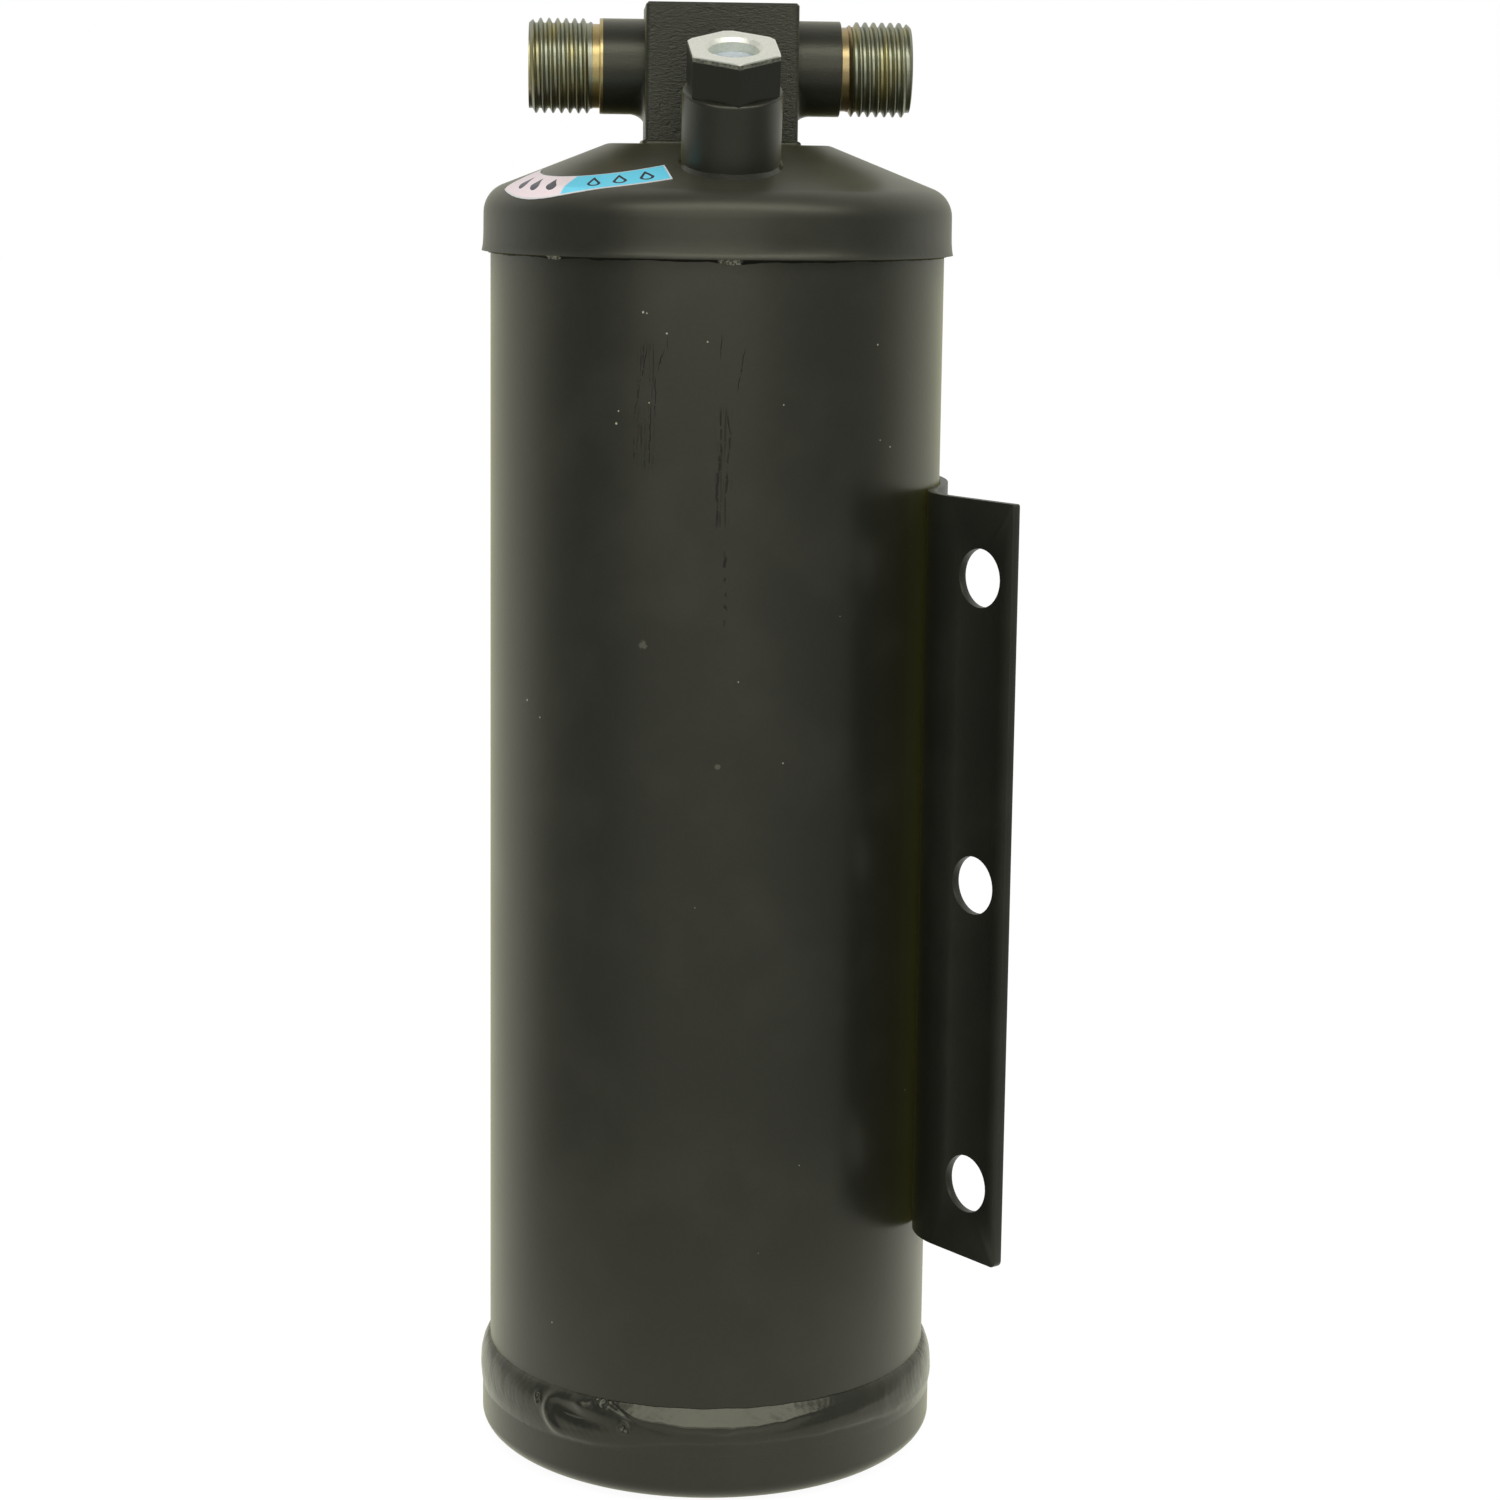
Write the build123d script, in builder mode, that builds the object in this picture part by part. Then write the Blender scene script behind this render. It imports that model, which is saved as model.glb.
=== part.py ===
from build123d import *
from math import cos, radians, sin, tan
import os

os.makedirs("parts", exist_ok=True)

# Receiver drier of a vehicle air-conditioning system, in millimetres.
# The origin is on the canister's axis at the flat of its bottom, +Z runs up the canister,
# +X points along the outlet fitting and -Y faces the front, where the sight glass is.

# Canister
tube_od = 76.2
tube_wall = 1.6
body_height = 224.0
slip_gap = 0.05

# Top cap: a plateau, a cone and a rounded shoulder over a skirt that slips on the tube
cap_wall = 1.1
cap_height = 17.9
plateau_r = 18.5
cone_angle = 21.6
shoulder_r = 5.0
plateau_edge_r = 3.0
rim_flare = 0.25
rim_height = 1.6
braze_leg = 0.9
braze_height = 0.6

# Bottom cup and its ring weld
cup_wall = 1.25
cup_edge_width = 8.5
cup_edge_height = 4.9
cup_height = 13.6
bead_up = 3.6
bead_down = 4.8
bead_bulge = 0.3

# Header block with its passages
block_width = 25.0
block_height = 22.8
block_corner_r = 0.8
block_chamfer = 0.4
block_weld_leg = 0.7
port_height = 12.6
passage_x = 6.3
inlet_passage_r = 3.0
port_bore_r = 4.0
port_bore_depth = 10.0

# Side fittings
spigot_r = 5.5
spigot_length = 5.0
shank_r = 7.85
shank_length = 7.4
neck_r = 6.9
neck_length = 1.4
thread_r = 7.8
thread_length = 10.4
thread_chamfer = 0.8
pilot_r = 5.4
pilot_depth = 8.0
mouth_chamfer = 0.6
fillet_axial = 2.8
fillet_radial = 2.0
fillet_hollow = 0.38

# Sight glass, square to the cone and a little inside the middle between block and rim
sight_x = 1.0
sight_lean = 1.175
boss_r = 8.0
boss_height = 11.95
boss_edge_r = 0.6
boss_spigot_r = 6.6
boss_spigot_length = 2.6
boss_ring_leg = 0.8
hex_across = 13.9
hex_chamfer_r = 7.6
hex_height = 6.85
hex_turn = 35.0
plug_shank_r = 5.4
plug_shank_length = 9.0
window_r = 4.0
window_depth = 4.8
window_chamfer = 0.6
lens_thickness = 2.2
seal_thickness = 0.5
seal_width = 0.9
plug_throat_r = 2.4
element_r = 2.9
element_thickness = 0.8
element_seat_depth = 2.0

# Indicator label, a bent strip on the cone and shoulder
label_thickness = 0.15
label_centre = (-12.9, -9.3)
label_inner_r = 16.7
label_outer_r = 22.7
label_inner_start = 168.0
label_outer_start = 188.0
label_end = 281.3

# Mounting bracket
sheet = 1.4
leg_end_angle = 22.0
bend_start_angle = -22.2
bend_outer_r = 13.7
flange_angle = 54.5
flange_flat = 15.5
bracket_height = 126.4
bracket_centre_z = 104.85
hole_r = 4.8
hole_spacing = 50.6
hole_edge = 7.65
low_corner_r = 1.2
top_corner_r = 0.4
bracket_weld_length = 18.0
bracket_weld_angle = 2.6

# Inside the canister
pickup_r = 4.0
pickup_wall = 1.0
pickup_grip = 7.0
pickup_foot_z = 12.0
fill_gap = 0.3
hole_clearance = 0.15
strainer_r = 6.5
strainer_wall = 0.8
strainer_foot_z = 4.0
strainer_height = 20.0
window_width = 2.6
window_height = 9.0
window_count = 6
retainer_plate_z = 40.0
retainer_wall = 1.0
retainer_gap = 0.3
plate_thickness = 1.2
pad_thickness = 6.0
charge_height = 104.0
perforation_r = 1.8
perforation_inset = 4.2
perforation_step = 5.0
perforation_counts = (18, 14, 10)
spring_r = 15.0
spring_wire_r = 1.2
spring_turns = 4.5

# Worked out from the sizes above
cone = radians(cone_angle)
tube_r = tube_od / 2
bore_r = tube_r - tube_wall
cap_r = tube_r + slip_gap + cap_wall
cup_r = tube_r + slip_gap + cup_wall
plateau_z = body_height
cap_rim_z = plateau_z - cap_height
cone_foot_z = plateau_z - (cap_r - plateau_r) * tan(cone)
skirt_top_z = cone_foot_z - shoulder_r * tan((radians(90) - cone) / 2)
tube_top_z = skirt_top_z - slip_gap
tube_foot_z = cup_edge_height
block_half = block_width / 2
port_z = plateau_z + port_height
shank_end = block_half + shank_length
neck_end = shank_end + neck_length
thread_end = neck_end + thread_length
pickup_top_z = plateau_z + pickup_grip
pickup_hole_r = pickup_r + hole_clearance
fill_r = bore_r - fill_gap
retainer_skirt_r = cup_r - cup_edge_width - retainer_gap
port_axis = Axis((0, 0, port_z), (1, 0, 0))

sight_y = (block_half + cap_r) / 2 - sight_lean
sight_radius = (sight_x**2 + sight_y**2) ** 0.5
sight_foot = (sight_x, -sight_y, plateau_z - (sight_radius - plateau_r) * tan(cone))
sight_plane = Plane(origin=sight_foot, x_dir=(1, 0, 0), z_dir=(0, -sin(cone), cos(cone)))
boss_top = sight_plane.offset(boss_height)
hex_top = boss_top.offset(hex_height)
window_seat = hex_top.offset(-window_depth)

leg_r = tube_r + slip_gap
bend_centre = (
    (leg_r + bend_outer_r) * cos(radians(bend_start_angle)),
    (leg_r + bend_outer_r) * sin(radians(bend_start_angle)),
)
bend_turn = 90 - flange_angle - bend_start_angle
flange_run = Vector(cos(radians(flange_angle)), -sin(radians(flange_angle)), 0)
flange_normal = Vector(-sin(radians(flange_angle)), -cos(radians(flange_angle)), 0)
flange_start = Vector(*bend_centre, 0) + flange_normal * bend_outer_r
flange_end = flange_start + flange_run * flange_flat
bracket_foot_z = bracket_centre_z - bracket_height / 2


def dome_section(inset, foot_z):
    """Half section of the space under the dome, inset square to its skin, down to foot_z."""
    edge_x = plateau_r - inset * tan(cone / 2)
    wall_x = cap_r - inset
    top_z = plateau_z - inset
    corner_z = top_z - (wall_x - edge_x) * tan(cone)
    with BuildSketch(Plane.XZ) as section:
        with BuildLine():
            Polyline(
                (0, foot_z), (wall_x, foot_z), (wall_x, corner_z), (edge_x, top_z), (0, top_z),
                close=True,
            )
        make_face()
        fillet(section.vertices().sort_by_distance((wall_x, corner_z))[0], shoulder_r - inset)
        fillet(section.vertices().sort_by_distance((edge_x, top_z))[0], plateau_edge_r - inset)
    return section.sketch


def cup_section(inset):
    """Half section of the cup's outside or inside, inset from its skin, with its oval edge."""
    wall_x = cup_r - inset
    flat_x = cup_r - cup_edge_width
    with BuildSketch(Plane.XZ) as section:
        with BuildLine():
            edge = EllipticalCenterArc(
                (flat_x, cup_edge_height),
                wall_x - flat_x,
                cup_edge_height - inset,
                start_angle=-90,
                arc_size=90,
            )
            Polyline(edge @ 1, (wall_x, cup_height), (0, cup_height), (0, inset), edge @ 0)
        make_face()
    return section.sketch


def cut_round(plane, radius, depth, centre=(0, 0)):
    """Cuts a round hole down from a plane."""
    with BuildSketch(plane) as hole:
        with Locations(centre):
            Circle(radius)
    extrude(hole.sketch, amount=-depth, mode=Mode.SUBTRACT)


def turned_fitting(side):
    """A fitting turned about the port axis, pointing along side times +X."""
    spigot_start = block_half - spigot_length
    outline = [
        (spigot_start, port_bore_r),
        (thread_end - pilot_depth, port_bore_r),
        (thread_end - pilot_depth, pilot_r),
        (thread_end - mouth_chamfer, pilot_r),
        (thread_end, pilot_r + mouth_chamfer),
        (thread_end, thread_r - thread_chamfer),
        (thread_end - thread_chamfer, thread_r),
        (neck_end + thread_chamfer, thread_r),
        (neck_end, neck_r),
        (shank_end, neck_r),
        (shank_end, shank_r),
        (block_half, shank_r),
        (block_half, spigot_r),
        (spigot_start, spigot_r),
    ]
    with BuildSketch(Plane.XZ) as section:
        with BuildLine():
            Polyline([(side * x, port_z + r) for x, r in outline], close=True)
        make_face()
    revolve(section.sketch, axis=port_axis)


def port_fillet(side):
    """A hollow-faced braze fillet under a shank, against the side of the block."""
    start = Plane(origin=(0, 0, port_z), x_dir=(1, 0, 0), z_dir=(0, 0, 1))
    root = (side * block_half, shank_r)
    far = (side * (block_half + fillet_axial), shank_r)
    tall = (side * block_half, shank_r + fillet_radial)
    hollow = (
        side * (block_half + fillet_hollow * fillet_axial),
        shank_r + fillet_hollow * fillet_radial,
    )
    with BuildSketch(start) as section:
        with BuildLine():
            Line(root, far)
            ThreePointArc(far, hollow, tall)
            Line(tall, root)
        make_face()
    revolve(section.sketch, axis=port_axis, revolution_arc=-180)


def perforate(plane, depth):
    """Cuts the rings of round holes and the pickup tube's hole down from a plane."""
    outer_ring_r = retainer_skirt_r - perforation_inset
    with BuildSketch(plane) as holes:
        for ring, count in enumerate(perforation_counts):
            with PolarLocations(outer_ring_r - ring * perforation_step, count):
                Circle(perforation_r)
        with Locations((passage_x, 0)):
            Circle(pickup_hole_r)
    extrude(holes.sketch, amount=-depth, mode=Mode.SUBTRACT)


def packed_disc(foot_z, thickness):
    """A disc that fills the canister's bore and lets the pickup tube through."""
    with BuildSketch(Plane.XY.offset(foot_z)) as disc:
        Circle(fill_r)
        with Locations((passage_x, 0)):
            Circle(pickup_hole_r, mode=Mode.SUBTRACT)
    extrude(disc.sketch, amount=thickness)


# Canister
with BuildPart() as canister_tube:
    with BuildSketch(Plane.XY.offset(tube_foot_z)):
        Circle(tube_r)
        Circle(bore_r, mode=Mode.SUBTRACT)
    extrude(amount=tube_top_z - tube_foot_z)

with BuildPart() as top_cap:
    revolve(dome_section(0, cap_rim_z), axis=Axis.Z)
    with BuildSketch(Plane.XZ):
        with BuildLine():
            Polyline(
                (cap_r - cap_wall, cap_rim_z),
                (cap_r + rim_flare, cap_rim_z),
                (cap_r + rim_flare, cap_rim_z + rim_height / 2),
                (cap_r, cap_rim_z + rim_height),
                (cap_r - cap_wall, cap_rim_z + rim_height),
                close=True,
            )
        make_face()
    revolve(axis=Axis.Z)
    revolve(dome_section(cap_wall, cap_rim_z), axis=Axis.Z, mode=Mode.SUBTRACT)
    cut_round(Plane.XY.offset(plateau_z), inlet_passage_r, 2 * cap_wall, (-passage_x, 0))
    cut_round(Plane.XY.offset(plateau_z), pickup_hole_r, 2 * cap_wall, (passage_x, 0))
    cut_round(sight_plane.offset(cap_wall), boss_spigot_r + slip_gap, 4 * cap_wall)

with BuildPart() as cap_braze_ring:
    with BuildSketch(Plane.XZ):
        with BuildLine():
            Line((tube_r, cap_rim_z), (tube_r + braze_leg, cap_rim_z))
            Line((tube_r + braze_leg, cap_rim_z), (tube_r, cap_rim_z - braze_height))
            Line((tube_r, cap_rim_z - braze_height), (tube_r, cap_rim_z))
        make_face()
    revolve(axis=Axis.Z)

with BuildPart() as bottom_cup:
    revolve(cup_section(0), axis=Axis.Z)
    revolve(cup_section(cup_wall), axis=Axis.Z, mode=Mode.SUBTRACT)

with BuildPart() as bottom_weld_bead:
    bead_top = (tube_r, cup_height + bead_up)
    bead_foot = (cup_r, cup_height - bead_down)
    bead_belly = (cup_r + bead_bulge, cup_height - bead_down / 2.5)
    with BuildSketch(Plane.XZ):
        with BuildLine():
            Spline(bead_top, bead_belly, bead_foot, tangents=((1, -0.9), (-0.3, -1)))
            Polyline(bead_foot, (cup_r, cup_height), (tube_r, cup_height), bead_top)
        make_face()
    revolve(axis=Axis.Z)

# Header block and fittings
with BuildPart() as header_block:
    with BuildSketch(Plane.XY.offset(plateau_z)):
        RectangleRounded(block_width, block_width, block_corner_r)
    extrude(amount=block_height)
    chamfer(header_block.faces().sort_by(Axis.Z)[-1].edges(), block_chamfer)
    for side in (-1, 1):
        face_plane = Plane(origin=(side * block_half, 0, port_z), z_dir=(side, 0, 0))
        cut_round(face_plane, spigot_r + slip_gap, spigot_length)
        cut_round(face_plane, port_bore_r, port_bore_depth)
    cut_round(Plane.XY.offset(port_z), inlet_passage_r, port_height, (-passage_x, 0))
    cut_round(Plane.XY.offset(port_z), pickup_r - pickup_wall, port_height, (passage_x, 0))
    cut_round(Plane.XY.offset(pickup_top_z), pickup_r + slip_gap, pickup_grip, (passage_x, 0))

with BuildPart() as header_weld:
    with BuildSketch(Plane.XY.offset(plateau_z)):
        RectangleRounded(
            block_width + 2 * block_weld_leg,
            block_width + 2 * block_weld_leg,
            block_corner_r + block_weld_leg,
        )
    extrude(amount=block_weld_leg, taper=45)
    with BuildSketch(Plane.XY.offset(plateau_z)):
        RectangleRounded(block_width, block_width, block_corner_r)
    extrude(amount=block_weld_leg, mode=Mode.SUBTRACT)

with BuildPart() as inlet_fitting:
    turned_fitting(-1)

with BuildPart() as outlet_fitting:
    turned_fitting(1)

with BuildPart() as inlet_braze_fillet:
    port_fillet(-1)

with BuildPart() as outlet_braze_fillet:
    port_fillet(1)

# Sight glass: the boss is cut to the cap's skin and reaches through it
with BuildPart() as sight_glass_boss:
    with BuildSketch(boss_top):
        Circle(boss_r)
    extrude(amount=-boss_height - boss_spigot_length)
    revolve(dome_section(0, cap_rim_z), axis=Axis.Z, mode=Mode.SUBTRACT)
    with BuildSketch(sight_plane.offset(slip_gap)):
        Circle(boss_spigot_r)
    extrude(amount=-boss_spigot_length)
    cut_round(boss_top, plug_shank_r + slip_gap, boss_height + 2 * boss_spigot_length)
    rims = sight_glass_boss.edges().filter_by(GeomType.CIRCLE)
    rims = rims.filter_by(lambda edge: abs(edge.radius - boss_r) < 1e-3)
    fillet(rims.sort_by(Axis.Z)[-1], boss_edge_r)

with BuildPart() as boss_braze_ring:
    with BuildSketch(sight_plane.offset(-boss_ring_leg)):
        Circle(boss_r + 2 * boss_ring_leg)
    extrude(amount=2 * boss_ring_leg, taper=45)
    revolve(dome_section(0, cap_rim_z), axis=Axis.Z, mode=Mode.SUBTRACT)
    with BuildSketch(sight_plane.offset(-boss_spigot_length)):
        Circle(boss_r)
    extrude(amount=2 * boss_spigot_length, mode=Mode.SUBTRACT)

with BuildPart() as sight_glass_plug:
    with BuildSketch(boss_top):
        RegularPolygon(hex_across / 2, 6, major_radius=False, rotation=hex_turn)
    extrude(amount=hex_height)
    with BuildSketch(hex_top):
        Circle(hex_chamfer_r)
    extrude(amount=-hex_height, taper=-60, mode=Mode.INTERSECT)
    with BuildSketch(boss_top):
        Circle(plug_shank_r)
    extrude(amount=-plug_shank_length)
    cut_round(hex_top, window_r + slip_gap, window_depth)
    cut_round(window_seat, plug_throat_r, hex_height + plug_shank_length)
    cut_round(window_seat, element_r + slip_gap, element_seat_depth)
    mouth = sight_glass_plug.edges().filter_by(GeomType.CIRCLE)
    mouth = mouth.filter_by(lambda edge: abs(edge.radius - window_r - slip_gap) < 1e-3)
    chamfer(mouth.sort_by(Axis.Z)[-1], window_chamfer)

with BuildPart() as lens_seal:
    with BuildSketch(window_seat):
        Circle(window_r)
        Circle(window_r - seal_width, mode=Mode.SUBTRACT)
    extrude(amount=seal_thickness)

with BuildPart() as sight_glass_lens:
    with BuildSketch(window_seat.offset(seal_thickness)):
        Circle(window_r)
    extrude(amount=lens_thickness)
    chamfer(sight_glass_lens.faces().sort_by(Axis.Z)[-1].edges(), label_thickness)

with BuildPart() as moisture_element:
    with BuildSketch(window_seat.offset(-element_seat_depth)):
        Circle(element_r)
    extrude(amount=element_thickness)

with BuildPart() as indicator_label:
    revolve(dome_section(-label_thickness, cap_rim_z), axis=Axis.Z)
    revolve(dome_section(0, cap_rim_z), axis=Axis.Z, mode=Mode.SUBTRACT)
    with BuildSketch(Plane.XY.offset(skirt_top_z + 2 * label_thickness)):
        with BuildLine():
            inner_sweep = label_end - label_inner_start
            outer_sweep = label_end - label_outer_start
            inner = CenterArc(label_centre, label_inner_r, label_inner_start, inner_sweep)
            outer = CenterArc(label_centre, label_outer_r, label_outer_start, outer_sweep)
            Line(inner @ 0, outer @ 0)
            Line(inner @ 1, outer @ 1)
        make_face()
    extrude(amount=cap_height, mode=Mode.INTERSECT)

# Bracket: a leg curved to the tube, a bend away from it and a flat flange with three holes
with BuildPart() as mounting_bracket:
    with BuildSketch(Plane.XY.offset(bracket_foot_z)):
        with BuildLine():
            leg_sweep = bend_start_angle - leg_end_angle
            leg_in = CenterArc((0, 0), leg_r, leg_end_angle, leg_sweep)
            bend_in = CenterArc(bend_centre, bend_outer_r, 180 + bend_start_angle, bend_turn)
            leg_out = CenterArc((0, 0), leg_r + sheet, leg_end_angle, leg_sweep)
            bend_out = CenterArc(
                bend_centre, bend_outer_r - sheet, 180 + bend_start_angle, bend_turn
            )
            tip_in = bend_in @ 1 + flange_run * flange_flat
            tip_out = bend_out @ 1 + flange_run * flange_flat
            Polyline(bend_in @ 1, tip_in, tip_out, bend_out @ 1)
            Line(leg_in @ 0, leg_out @ 0)
        make_face()
    extrude(amount=bracket_height)
    flange_plane = Plane(
        origin=flange_end + Vector(0, 0, bracket_centre_z),
        x_dir=flange_run,
        z_dir=flange_normal,
    )
    for step in (-1, 0, 1):
        cut_round(flange_plane.offset(sheet), hole_r, 3 * sheet, (-hole_edge, -step * hole_spacing))
    tip_edges = mounting_bracket.edges().filter_by(Axis((0, 0, 0), flange_normal))
    tip_edges = tip_edges.sort_by(Axis((0, 0, 0), flange_run))[-2:].sort_by(Axis.Z)
    fillet(tip_edges[0], low_corner_r)
    tip_edges = mounting_bracket.edges().filter_by(Axis((0, 0, 0), flange_normal))
    fillet(tip_edges.sort_by(Axis.Z)[-1], top_corner_r)

with BuildPart() as bracket_welds:
    weld_rows = [
        bracket_foot_z + bracket_height * share - bracket_weld_length / 2
        for share in (1 / 8, 1 / 2, 7 / 8)
    ]
    for foot_z in weld_rows:
        with BuildSketch(Plane.XY.offset(foot_z)):
            with BuildLine():
                seat = CenterArc((0, 0), tube_r, leg_end_angle, bracket_weld_angle)
                Polyline(seat @ 1, (seat @ 0) * ((leg_r + sheet) / tube_r), seat @ 0)
            make_face()
        extrude(amount=bracket_weld_length)

# Inside the canister
with BuildPart() as pickup_tube:
    with BuildSketch(Plane.XY.offset(pickup_foot_z)):
        with Locations((passage_x, 0)):
            Circle(pickup_r)
            Circle(pickup_r - pickup_wall, mode=Mode.SUBTRACT)
    extrude(amount=pickup_top_z - pickup_foot_z)

with BuildPart() as strainer:
    strainer_top_z = strainer_foot_z + strainer_height
    with BuildSketch(Plane.XY.offset(strainer_foot_z)):
        with Locations((passage_x, 0)):
            Circle(strainer_r)
    extrude(amount=strainer_height)
    cut_round(
        Plane.XY.offset(strainer_top_z - strainer_wall),
        strainer_r - strainer_wall,
        strainer_height - 2 * strainer_wall,
        (passage_x, 0),
    )
    cut_round(Plane.XY.offset(strainer_top_z), pickup_r + slip_gap, strainer_wall, (passage_x, 0))
    with BuildSketch(Plane.XY.offset(strainer_foot_z + 2 * strainer_wall)):
        with Locations((passage_x, 0)):
            with PolarLocations(strainer_r, window_count):
                Rectangle(4 * strainer_wall, window_width)
    extrude(amount=window_height, mode=Mode.SUBTRACT)

with BuildPart() as lower_retainer:
    plate_foot_z = retainer_plate_z - plate_thickness
    with BuildSketch(Plane.XY.offset(plate_foot_z)):
        Circle(fill_r)
    extrude(amount=plate_thickness)
    with BuildSketch(Plane.XY.offset(cup_wall)):
        Circle(retainer_skirt_r)
        Circle(retainer_skirt_r - retainer_wall, mode=Mode.SUBTRACT)
    extrude(amount=plate_foot_z - cup_wall)
    perforate(Plane.XY.offset(retainer_plate_z), plate_thickness)

charge_foot_z = retainer_plate_z + pad_thickness
upper_pad_z = charge_foot_z + charge_height
upper_plate_z = upper_pad_z + pad_thickness
spring_foot_z = upper_plate_z + plate_thickness
spring_top_z = plateau_z - cap_wall

with BuildPart() as lower_filter_pad:
    packed_disc(retainer_plate_z, pad_thickness)

with BuildPart() as desiccant_charge:
    packed_disc(charge_foot_z, charge_height)

with BuildPart() as upper_filter_pad:
    packed_disc(upper_pad_z, pad_thickness)

with BuildPart() as upper_perforated_plate:
    packed_disc(upper_plate_z, plate_thickness)
    perforate(Plane.XY.offset(spring_foot_z), plate_thickness)

with BuildPart() as compression_spring:
    seat_gap = spring_wire_r + slip_gap
    coil_height = spring_top_z - spring_foot_z - 2 * seat_gap
    with BuildLine() as coil:
        Helix(
            coil_height / spring_turns, coil_height, spring_r,
            center=(0, 0, spring_foot_z + seat_gap),
        )
    with BuildSketch(Plane(origin=coil.line @ 0, z_dir=coil.line % 0)):
        Circle(spring_wire_r)
    sweep()

pieces = {
    "canister_tube": canister_tube,
    "top_cap": top_cap,
    "cap_braze_ring": cap_braze_ring,
    "bottom_cup": bottom_cup,
    "bottom_weld_bead": bottom_weld_bead,
    "header_block": header_block,
    "header_weld": header_weld,
    "inlet_fitting": inlet_fitting,
    "outlet_fitting": outlet_fitting,
    "inlet_braze_fillet": inlet_braze_fillet,
    "outlet_braze_fillet": outlet_braze_fillet,
    "sight_glass_boss": sight_glass_boss,
    "boss_braze_ring": boss_braze_ring,
    "sight_glass_plug": sight_glass_plug,
    "lens_seal": lens_seal,
    "sight_glass_lens": sight_glass_lens,
    "moisture_element": moisture_element,
    "indicator_label": indicator_label,
    "mounting_bracket": mounting_bracket,
    "bracket_welds": bracket_welds,
    "pickup_tube": pickup_tube,
    "strainer": strainer,
    "lower_retainer": lower_retainer,
    "lower_filter_pad": lower_filter_pad,
    "desiccant_charge": desiccant_charge,
    "upper_filter_pad": upper_filter_pad,
    "upper_perforated_plate": upper_perforated_plate,
    "compression_spring": compression_spring,
}
for name, piece in pieces.items():
    piece.part.label = name
    export_step(piece.part, f"parts/{name}.step")
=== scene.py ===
"""Looks of a receiver drier: finishes, welds, threads, label and stage, in metres."""

from functools import partialmethod
from math import atan2, cos, exp, hypot, pi, radians, sin, sqrt

import bmesh
import bpy
from bpy.props import FloatProperty, FloatVectorProperty, IntProperty, PointerProperty
from mathutils import Matrix, Vector, noise
from mathutils.bvhtree import BVHTree


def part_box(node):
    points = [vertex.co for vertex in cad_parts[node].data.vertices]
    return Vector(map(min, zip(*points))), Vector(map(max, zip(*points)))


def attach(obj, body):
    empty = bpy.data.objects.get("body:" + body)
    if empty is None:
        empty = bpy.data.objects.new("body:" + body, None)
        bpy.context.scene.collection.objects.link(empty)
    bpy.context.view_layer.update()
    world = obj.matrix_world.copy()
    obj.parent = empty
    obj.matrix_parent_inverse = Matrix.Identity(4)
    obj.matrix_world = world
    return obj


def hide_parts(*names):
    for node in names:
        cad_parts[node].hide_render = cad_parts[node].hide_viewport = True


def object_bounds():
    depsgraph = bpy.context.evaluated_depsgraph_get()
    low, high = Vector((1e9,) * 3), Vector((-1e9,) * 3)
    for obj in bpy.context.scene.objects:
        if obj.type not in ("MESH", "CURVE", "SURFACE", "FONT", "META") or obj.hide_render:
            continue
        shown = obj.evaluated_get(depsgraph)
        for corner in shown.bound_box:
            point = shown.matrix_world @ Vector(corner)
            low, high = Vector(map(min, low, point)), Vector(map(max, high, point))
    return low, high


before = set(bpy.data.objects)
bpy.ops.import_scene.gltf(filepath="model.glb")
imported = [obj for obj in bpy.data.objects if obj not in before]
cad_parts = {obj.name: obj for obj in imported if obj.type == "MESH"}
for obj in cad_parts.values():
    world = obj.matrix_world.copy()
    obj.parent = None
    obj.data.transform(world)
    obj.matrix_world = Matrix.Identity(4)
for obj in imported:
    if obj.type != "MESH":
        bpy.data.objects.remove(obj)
cad_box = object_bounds()

bl_info = {
    "name": "Receiver Drier",
    "version": (1, 0, 0),
    "blender": (4, 5, 0),
    "location": "3D View > Sidebar > Drier",
    "description": "Dresses the packed receiver drier and sets up its stage",
    "category": "Object",
}

MM = 0.001
UP = Vector((0, 0, 1))
AHEAD = Vector((1, 0, 0))

cup_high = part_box("bottom_cup")[1]
cap_low, cap_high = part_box("top_cap")
bead_low, bead_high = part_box("bottom_weld_bead")
ring_low, ring_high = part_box("cap_braze_ring")
outlet_low, outlet_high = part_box("outlet_fitting")

TUBE_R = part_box("canister_tube")[1].x
CUP_R = cup_high.x
BLOCK_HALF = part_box("header_block")[1].x
PORT_Z = (outlet_low.z + outlet_high.z) / 2
SHANK_R = (outlet_high.z - outlet_low.z) / 2
PORT_END = outlet_high.x
THREAD_R = 7.8 * MM
PORTS = (("outlet", 1), ("inlet", -1))


def colour_setting(name, description, default):
    return FloatVectorProperty(
        name=name, description=description, subtype="COLOR", default=default, min=0, max=1
    )


def length_setting(name, description, default, low, high):
    """A length, given in millimetres."""
    return FloatProperty(
        name=name, description=description, subtype="DISTANCE", unit="LENGTH",
        default=default * MM, min=low * MM, max=high * MM,
    )


def level_setting(name, description, default, low=0, high=1):
    return FloatProperty(name=name, description=description, default=default, min=low, max=high)


class PaintSettings(bpy.types.PropertyGroup):
    """The black paint over the whole drier."""

    colour: colour_setting("Paint colour", "Satin black", (0.0085, 0.0087, 0.0077))
    worn: colour_setting("Worn colour", "Paint where it is thin or rubbed", (0.030, 0.030, 0.024))
    shine: colour_setting("Shine", "Olive cast of the paint's gloss", (1.0, 1.0, 0.76))
    roughness: level_setting("Roughness", "Gloss of the paint film", 0.31)
    sheen: level_setting("Sheen", "Soft olive haze at glancing angles", 0.30)
    peel: length_setting("Orange peel", "Size of the paint's fine waves", 0.9, 0.1, 10)


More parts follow.
